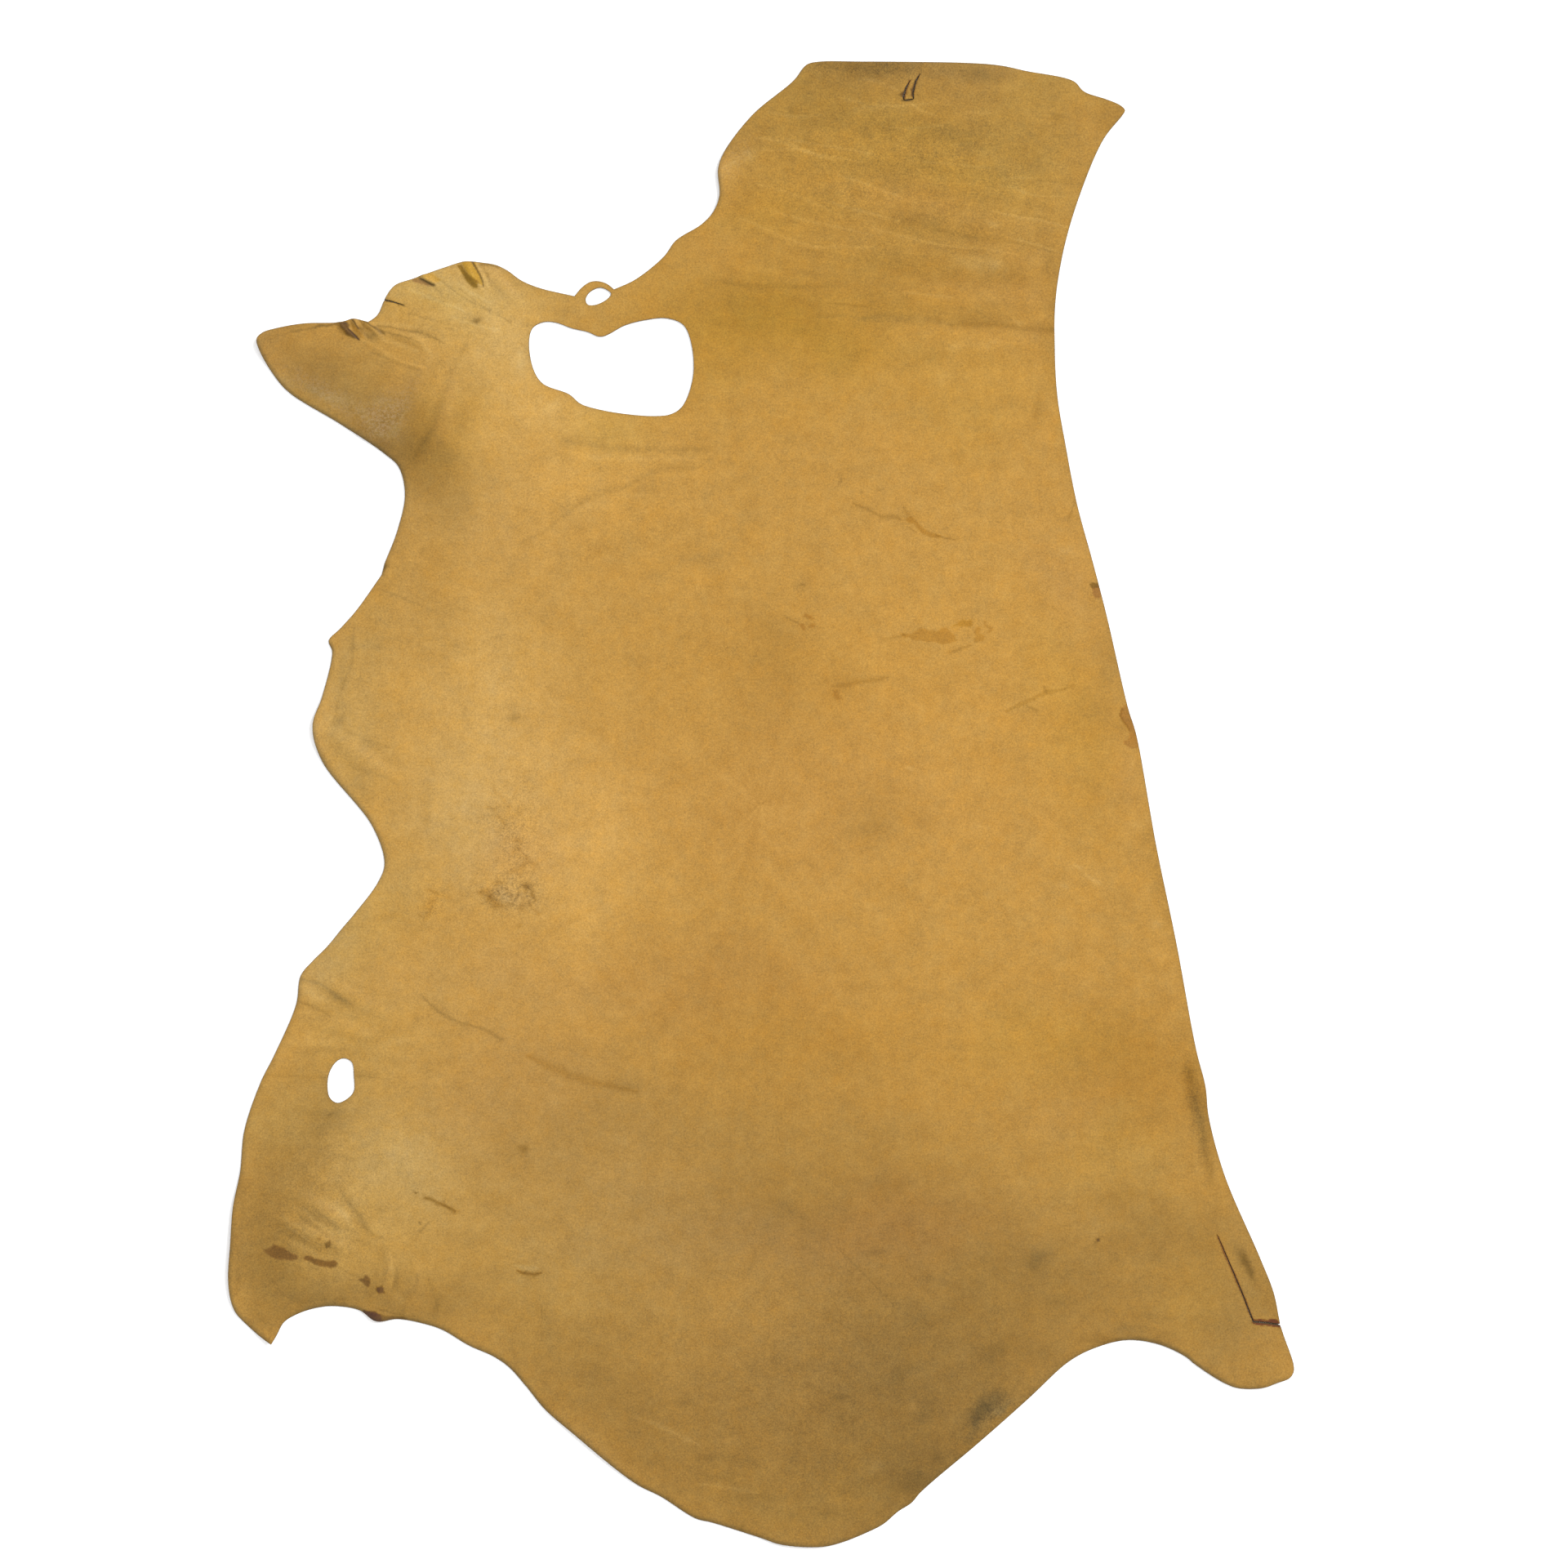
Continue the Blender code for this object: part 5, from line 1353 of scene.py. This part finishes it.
def new_mesh(name, corners, faces):
    """A mesh of triangles, written as whole arrays."""
    mesh = bpy.data.meshes.new(name)
    mesh.vertices.add(len(corners))
    mesh.vertices.foreach_set("co", np.ascontiguousarray(corners, np.float32).ravel())
    mesh.loops.add(faces.size)
    mesh.loops.foreach_set("vertex_index", np.ascontiguousarray(faces, np.int32).ravel())
    mesh.polygons.add(len(faces))
    mesh.polygons.foreach_set("loop_start", np.arange(0, faces.size, 3, dtype=np.int32))
    mesh.update(calc_edges=True)
    return mesh


def add_number(mesh, name, values):
    """Gives each point of the mesh a number, under the name that the materials read."""
    attribute = mesh.attributes.new(name, "FLOAT", "POINT")
    attribute.data.foreach_set("value", np.ascontiguousarray(values, np.float32))


def add_colour(mesh, name, colours):
    """Gives each point of the mesh a colour, under the name that the materials read."""
    attribute = mesh.attributes.new(name, "FLOAT_COLOR", "POINT")
    opaque = np.column_stack([colours, np.ones(len(colours))])
    attribute.data.foreach_set("color", np.ascontiguousarray(opaque, np.float32).ravel())


def linear(shown):
    """Light for a shown brightness from 0 to 255, by the usual display curve."""
    s = np.asarray(shown, float) / 255
    return np.where(s < 0.04045, s / 12.92, ((s + 0.055) / 1.055) ** 2.4)


def line_bells(points):
    """For each drawn line, its row and the bell curve of the distance from it over its width."""
    for row in all_rows(LINES):
        share, _ = beside_line(points, row[-1])
        yield row, np.exp(-FALLOFF * share**2)


def crease_depth(points):
    """How far the upper side sinks into the drawn creases, in millimetres."""
    places = wavering(points, *LINE_WAVER)
    return sum(sink * bell for (_, _, sink, _), bell in line_bells(places))


def skin_colour_with_painted_light(points, distance, facing):
    """The skin's colour with painted light and shade: its light, then green and blue as shares of it,
    more where pale.

    Broad tones, blotches and drawn lines add their light and pale shares; among them are painted
    shade in creases, hollows and at lifted edges and painted highlights on crests. A patch then keeps
    its shares of red, green and blue, with a smooth step across its outline. Last, painted shade
    darkens the edge with a bell curve of the distance from it, more where it looks away from the light.
    """
    broad, near, close = (wavering(points, *waver) for waver in (TONE_WAVER, BLOTCH_WAVER, LINE_WAVER))
    tones, blotches, hues = TONES.values(), all_rows(BLOTCHES), HUES.values()
    light = SKIN_LIGHT + fading(broad, tones, LIGHT) + fading(near, blotches, LIGHT)
    pale = fading(broad, tones, PALE) + fading(near, blotches, PALE)
    for (line_light, line_pale, _, _), bell in line_bells(close):
        light += line_light * bell
        pale += line_pale * bell
    light = np.maximum(light, LEAST_LIGHT)
    green = SKIN_GREEN + PALE_GREEN * pale + RED_SHARE * fading(broad, hues, GREENER)
    blue = SKIN_BLUE + PALE_BLUE * pale + RED_SHARE * fading(broad, hues, BLUER)
    shown = np.column_stack([light, light * green, light * blue])
    for tint, softness, corners in PATCHES.values():
        step = np.clip(inside_outline(close, corners) / softness + 0.5, 0.0, 1.0)
        step = step**2 * (3 - 2 * step)
        shown *= 1 - (1 - np.array(tint)) * step[:, None]
    # Painted shade along the edge, deeper where the edge looks away from the light
    rim = (RIM_SHADE + RIM_FACING_SHADE * facing) * np.exp(-((distance / RIM_SHADE_WIDTH) ** 2))
    shown *= 1 - rim[:, None] * RIM_SHADE_TINT
    return np.maximum(linear(shown) / STAGE_LIGHT - GLOSS_LIGHT, LEAST_ALBEDO)


class Nodes:
    """Lays out a material: each call adds a node, sets or links its inputs, and gives an output."""

    def __init__(self, name):
        self.material = bpy.data.materials.new(name)
        self.material.use_nodes = True
        self.tree = self.material.node_tree
        self.shader = self.tree.nodes["Principled BSDF"]
        self.place = self.add("ShaderNodeTexCoord", "Object")

    def put(self, socket, value):
        """Links the value to the socket where it is another node's output, and sets it where not."""
        if isinstance(value, bpy.types.NodeSocket):
            self.tree.links.new(value, socket)
        elif value is not None:
            socket.default_value = value

    def add(self, kind, output=0, settings=(), inputs=()):
        """The output of a new node with these settings and inputs."""
        node = self.tree.nodes.new(kind)
        for name, value in dict(settings).items():
            setattr(node, name, value)
        for name, value in dict(inputs).items():
            self.put(node.inputs[name], value)
        return node.outputs[output]

    def attribute(self, name, output="Fac"):
        """The number or colour that the mesh's points hold under this name."""
        return self.add("ShaderNodeAttribute", output, {"attribute_name": name})

    def stretched(self, turn, across, along):
        """Object coordinates turned by degrees and scaled per metre across and along."""
        scale = (across, along, 1.0)
        turned = self.add("ShaderNodeVectorRotate", 0, {"rotation_type": "Z_AXIS"},
                          {"Vector": self.place, "Angle": math.radians(turn)})
        return self.add("ShaderNodeVectorMath", 0, {"operation": "MULTIPLY"}, {0: turned, 1: scale})

    def noise(self, scale, detail=2.0, rough=0.5, vector=None):
        """Noise with this many waves per metre, on Object coordinates or the given ones."""
        inputs = {"Vector": vector or self.place, "Scale": scale, "Detail": detail, "Roughness": rough}
        return self.add("ShaderNodeTexNoise", 0, {}, inputs)

    def math(self, operation, a, b=None, c=None):
        """The result of the operation on up to three numbers or outputs."""
        return self.add("ShaderNodeMath", 0, {"operation": operation}, {0: a, 1: b, 2: c})

    def swing(self, value, share):
        """The noise value less its middle, times the share."""
        return self.math("MULTIPLY", self.math("SUBTRACT", value, 0.5), share)

    def total(self, *values):
        """The sum of the numbers and outputs."""
        result = values[0]
        for value in values[1:]:
            result = self.math("ADD", result, value)
        return result

    def ramp(self, value, low, high, start=0.0, end=1.0):
        """A smooth step from start at low to end at high."""
        inputs = {"Value": value, "From Min": low, "From Max": high, "To Min": start, "To Max": end}
        return self.add("ShaderNodeMapRange", 0, {"interpolation_type": "SMOOTHSTEP"}, inputs)

    def mix(self, factor, a, b):
        """Colour a where the factor is 0, b where it is 1."""
        node = self.tree.nodes.new("ShaderNodeMix")
        node.data_type = "RGBA"
        self.put(node.inputs[0], factor)
        self.put(node.inputs[6], a)
        self.put(node.inputs[7], b)
        return node.outputs[2]

    def tinted(self, colour, red, green, blue):
        """The colour with its three channels each times a number."""
        shares = self.add("ShaderNodeCombineXYZ", 0, {}, {"X": red, "Y": green, "Z": blue})
        return self.add("ShaderNodeVectorMath", 0, {"operation": "MULTIPLY"}, {0: colour, 1: shares})

    def bump(self, height, distance, strength=1.0, below=None):
        """A surface raised by the height times the distance in metres, on the normal below it."""
        inputs = {"Height": height, "Distance": distance, "Strength": strength, "Normal": below}
        return self.add("ShaderNodeBump", 0, {}, inputs)

    def finish(self, **inputs):
        """Sets or links the shader's own inputs and gives the material."""
        for name, value in inputs.items():
            self.put(self.shader.inputs[name.replace("_", " ")], value)
        return self.material


def grain_leather(colours):
    """Waxed full grain: the painted skin with mottle, speckle, wrinkles, worn and scuffed places."""
    n = Nodes("tan grain leather")
    worn = n.attribute("worn")
    wrinkled = n.attribute("wrinkled")
    mottle = n.noise(20, 6.0, 0.95)
    speckle = n.noise(380, 1.0, 0.6)
    pepper = n.noise(900, 1.0, 0.6)
    wrinkle = n.noise(1.0, 3.0, 0.7, n.stretched(8, 5, 62))
    fine_wrinkle = n.noise(1.0, 3.0, 0.7, n.stretched(8, 16, 190))
    stripe = n.noise(1.0, 3.0, 0.6, n.stretched(0, 34, 2.2))
    grain_share = n.math("MULTIPLY_ADD", worn, 0.9, 1.0)
    speckled = n.total(n.swing(speckle, 0.60), n.swing(pepper, 0.70), n.swing(mottle, 0.85))
    wrinkle_share = n.math("MULTIPLY_ADD", wrinkled, 0.22, 0.06)
    light = n.total(
        1.0,
        n.math("MULTIPLY", speckled, grain_share),
        n.math("MULTIPLY", n.swing(wrinkle, 1.0), wrinkle_share),
        n.math("MULTIPLY", n.swing(fine_wrinkle, 1.0), n.math("MULTIPLY_ADD", wrinkled, 0.14, 0.04)),
        n.swing(stripe, 0.05),
    )
    blotch = n.ramp(n.noise(150, 5.0, 0.8), 0.46, 0.62, 0.0, 0.24)
    light = n.math("MULTIPLY", light, n.math("SUBTRACT", 1.0, n.math("MULTIPLY", blotch, worn)))
    hue = n.swing(n.noise(22, 6.0, 0.9), 1.35)
    # The painted skin colour, with its painted light and shade
    colour = n.tinted(n.attribute("skin", "Color"), light,
                      n.math("MULTIPLY", light, n.math("MULTIPLY_ADD", hue, 0.22, 1.0)),
                      n.math("MULTIPLY", light, n.math("ADD", hue, 1.0)))
    crackle = n.ramp(n.noise(240, 5.0, 0.9), 0.46, 0.58)
    colour = n.mix(n.math("MULTIPLY", crackle, n.attribute("scuffed")), colour, (*colours.scuff, 1.0))
    edge = n.ramp(n.attribute("rim"), 0.2, 1.6, 0.30, 0.0)
    colour = n.mix(edge, colour, (*colours.edge, 1.0))

    pores = n.add("ShaderNodeTexVoronoi", 0, {"feature": "SMOOTH_F1"},
                  {"Vector": n.place, "Scale": 520.0, "Smoothness": 0.5})
    normal = n.bump(pores, 0.0003, 0.35)
    normal = n.bump(n.noise(130, 4.0, 0.6), 0.0006, 0.35, normal)
    normal = n.bump(wrinkle, 0.0012, n.math("MULTIPLY_ADD", wrinkled, 0.3, 0.15), normal)
    gloss = n.ramp(n.noise(60, 3.0, 0.6), 0.3, 0.7, 0.52, 0.66)
    return n.finish(Base_Color=colour, Roughness=gloss, Normal=normal, Specular_IOR_Level=0.2)


def flesh_leather(colours):
    """The flesh side: napped suede with short loose fibres and a cloudy tone."""
    n = Nodes("flesh side suede")
    nap = n.noise(300, 5.0, 0.75)
    cloud = n.noise(14, 4.0, 0.6)
    light = n.total(1.0, n.swing(nap, 0.8), n.swing(cloud, 0.5))
    normal = n.bump(nap, 0.0008, 0.7)
    return n.finish(Base_Color=n.tinted((*colours.flesh,), light, light, light), Roughness=0.95,
                    Normal=normal, Specular_IOR_Level=0.15, Sheen_Weight=0.25, Sheen_Roughness=0.5)


def cut_edge(colours):
    """The knife-cut edge: darker fibres in fine layers."""
    n = Nodes("cut edge")
    fibres = n.noise(1.0, 4.0, 0.7, n.stretched(0, 700, 700))
    light = n.total(1.0, n.swing(fibres, 0.8))
    normal = n.bump(fibres, 0.0005, 0.6)
    return n.finish(Base_Color=n.tinted((*colours.edge,), light, light, light), Roughness=0.9,
                    Normal=normal, Specular_IOR_Level=0.2)


class SideSizes(bpy.types.PropertyGroup):
    """Sizes of the leather side, in metres"""

    thickness: FloatProperty(
        name="Thickness", description="Thickness of the leather", default=0.0022, unit="LENGTH"
    )
    cell: FloatProperty(
        name="Cell", description="Largest cell of the grain side's mesh", default=0.012, unit="LENGTH"
    )
    lower_cell: FloatProperty(
        name="Lower cell", description="Largest cell of the flesh side's mesh", default=0.016, unit="LENGTH"
    )
    rim_step: FloatProperty(
        name="Edge step", description="Distance between points along the edge", default=0.0034, unit="LENGTH"
    )
    camera_height: FloatProperty(
        name="Camera height", description="Camera's height over the leather", default=5.76, unit="LENGTH"
    )


class SideColours(bpy.types.PropertyGroup):
    """Colours of the leather side"""

    scuff: FloatVectorProperty(
        name="Scuff", description="Dry cracked finish", default=(0.32, 0.225, 0.125), subtype="COLOR"
    )
    edge: FloatVectorProperty(
        name="Cut edge", description="Knife-cut edge", default=(0.075, 0.047, 0.022), subtype="COLOR"
    )
    flesh: FloatVectorProperty(
        name="Flesh side", description="Suede underside", default=(0.26, 0.17, 0.08), subtype="COLOR"
    )
    floor: FloatVectorProperty(
        name="Floor", description="Pale floor", default=(0.93, 0.93, 0.93), subtype="COLOR"
    )


def link(piece):
    """Puts the object into the scene."""
    bpy.context.scene.collection.objects.link(piece)


class LEATHER_OT_side(bpy.types.Operator):
    """Make the leather side, one sheet with its grain, flesh side and cut edge"""

    bl_idname = "leather.side"
    bl_label = "Leather side"

    def execute(self, context):
        sizes = context.scene.leather_sizes
        colours = context.scene.leather_colours
        corners, faces, kinds, loops = closed_sheet(sizes)
        places = corners[:, :2]
        middle = (loops[0].min(axis=0) + loops[0].max(axis=0)) / 2
        centre = (LOW[:2] + HIGH[:2]) / 2
        shown = np.column_stack([(places - middle) * MM + centre, corners[:, 2] * MM + LOW[2]])
        mesh = new_mesh("leather_side", shown, faces)
        mesh.polygons.foreach_set("material_index", kinds.astype(np.int32))
        distance, facing = nearest_sides(places, loops, RIM_REACH)
        # The skin colour holds painted shade and painted light beside the leather's own colour
        add_colour(mesh, "skin", skin_colour_with_painted_light(places, distance, facing))
        tables = {"worn": (WORN, 1), "scuffed": (SCUFFED, SCUFF_SHARE), "wrinkled": (WRINKLED, 1)}
        for name, (table, share) in tables.items():
            add_number(mesh, name, np.minimum(fading(places, table.values(), AMOUNT), 1.0) * share)
        add_number(mesh, "rim", distance)
        mesh.shade_smooth()
        mesh.set_sharp_from_angle(angle=math.radians(SHARP_ANGLE))
        piece = bpy.data.objects.new("leather_side", mesh)
        link(piece)
        for make in (grain_leather, flesh_leather, cut_edge):
            mesh.materials.append(make(colours))
        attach(piece, "root")
        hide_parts("hide")
        return {"FINISHED"}


class LEATHER_OT_stage(bpy.types.Operator):
    """Make the pale floor, the soft studio light and the camera straight above the leather"""

    bl_idname = "leather.stage"
    bl_label = "Stage"

    def execute(self, context):
        sizes = context.scene.leather_sizes
        colours = context.scene.leather_colours
        self.make_floor(colours)
        self.make_light(context)
        self.make_camera(context, sizes)
        return {"FINISHED"}

    def make_floor(self, colours):
        """A plain pale floor just under the leather."""
        half = FLOOR_SIZE / 2
        corners = np.array([(-half, -half), (half, -half), (half, half), (-half, half)])
        corners = np.column_stack([corners, np.full(4, LOW[2] - FLOOR_GAP)])
        mesh = new_mesh("floor", corners, np.array([(0, 1, 2), (0, 2, 3)]))
        floor = bpy.data.objects.new("floor", mesh)
        link(floor)
        n = Nodes("pale floor")
        mesh.materials.append(n.finish(Base_Color=(*colours.floor, 1.0), Roughness=0.9,
                                       Specular_IOR_Level=0.2))

    def make_light(self, context):
        """A white surround and one broad soft key light from the upper right."""
        world = bpy.data.worlds.new("soft light")
        world.use_nodes = True
        world.node_tree.nodes["Background"].inputs["Color"].default_value = (1.0, 1.0, 1.0, 1.0)
        world.node_tree.nodes["Background"].inputs["Strength"].default_value = SKY_LIGHT
        context.scene.world = world
        for name, turn, lean, strength, width in KEY_LIGHTS:
            lamp = bpy.data.lights.new(name, "SUN")
            lamp.energy = strength
            lamp.angle = math.radians(width)
            light = bpy.data.objects.new(name, lamp)
            light.rotation_euler = (0.0, math.radians(lean), math.radians(turn))
            link(light)

    def make_camera(self, context, sizes):
        """The camera, straight above the picture's middle and looking down."""
        lens = bpy.data.cameras.new("camera")
        lens.sensor_width = SENSOR_WIDTH
        lens.lens = SENSOR_WIDTH * sizes.camera_height / (PICTURE_PIXELS * PIXEL_SIZE)
        lens.clip_end = 60.0
        camera = bpy.data.objects.new("camera", lens)
        corner = np.array(PICTURE_CENTRE) * MM + LOW[:2]
        camera.location = (corner[0], corner[1], sizes.camera_height)
        link(camera)
        context.scene.camera = camera
        context.scene.view_settings.view_transform = "Standard"


class LEATHER_PT_panel(bpy.types.Panel):
    """Sizes, colours and pieces of the leather side"""

    bl_label = "Leather side"
    bl_idname = "LEATHER_PT_panel"
    bl_space_type = "VIEW_3D"
    bl_region_type = "UI"
    bl_category = "Leather"

    def draw(self, context):
        """Lists the sizes, the colours and the two operators."""
        for group in (context.scene.leather_sizes, context.scene.leather_colours):
            for name in group.__annotations__:
                self.layout.prop(group, name)
        for operator in (LEATHER_OT_side, LEATHER_OT_stage):
            self.layout.operator(operator.bl_idname)


CLASSES = (SideSizes, SideColours, LEATHER_OT_side, LEATHER_OT_stage, LEATHER_PT_panel)


def register():
    """Adds the classes, and the sizes and colours as properties of the scene."""
    for cls in CLASSES:
        bpy.utils.register_class(cls)
    bpy.types.Scene.leather_sizes = PointerProperty(type=SideSizes)
    bpy.types.Scene.leather_colours = PointerProperty(type=SideColours)


def unregister():
    """Takes away what register adds."""
    del bpy.types.Scene.leather_colours
    del bpy.types.Scene.leather_sizes
    for cls in reversed(CLASSES):
        bpy.utils.unregister_class(cls)


def main():
    """Makes the leather and its stage."""
    register()
    bpy.ops.leather.side()
    bpy.ops.leather.stage()


if __name__ == "__main__":
    main()
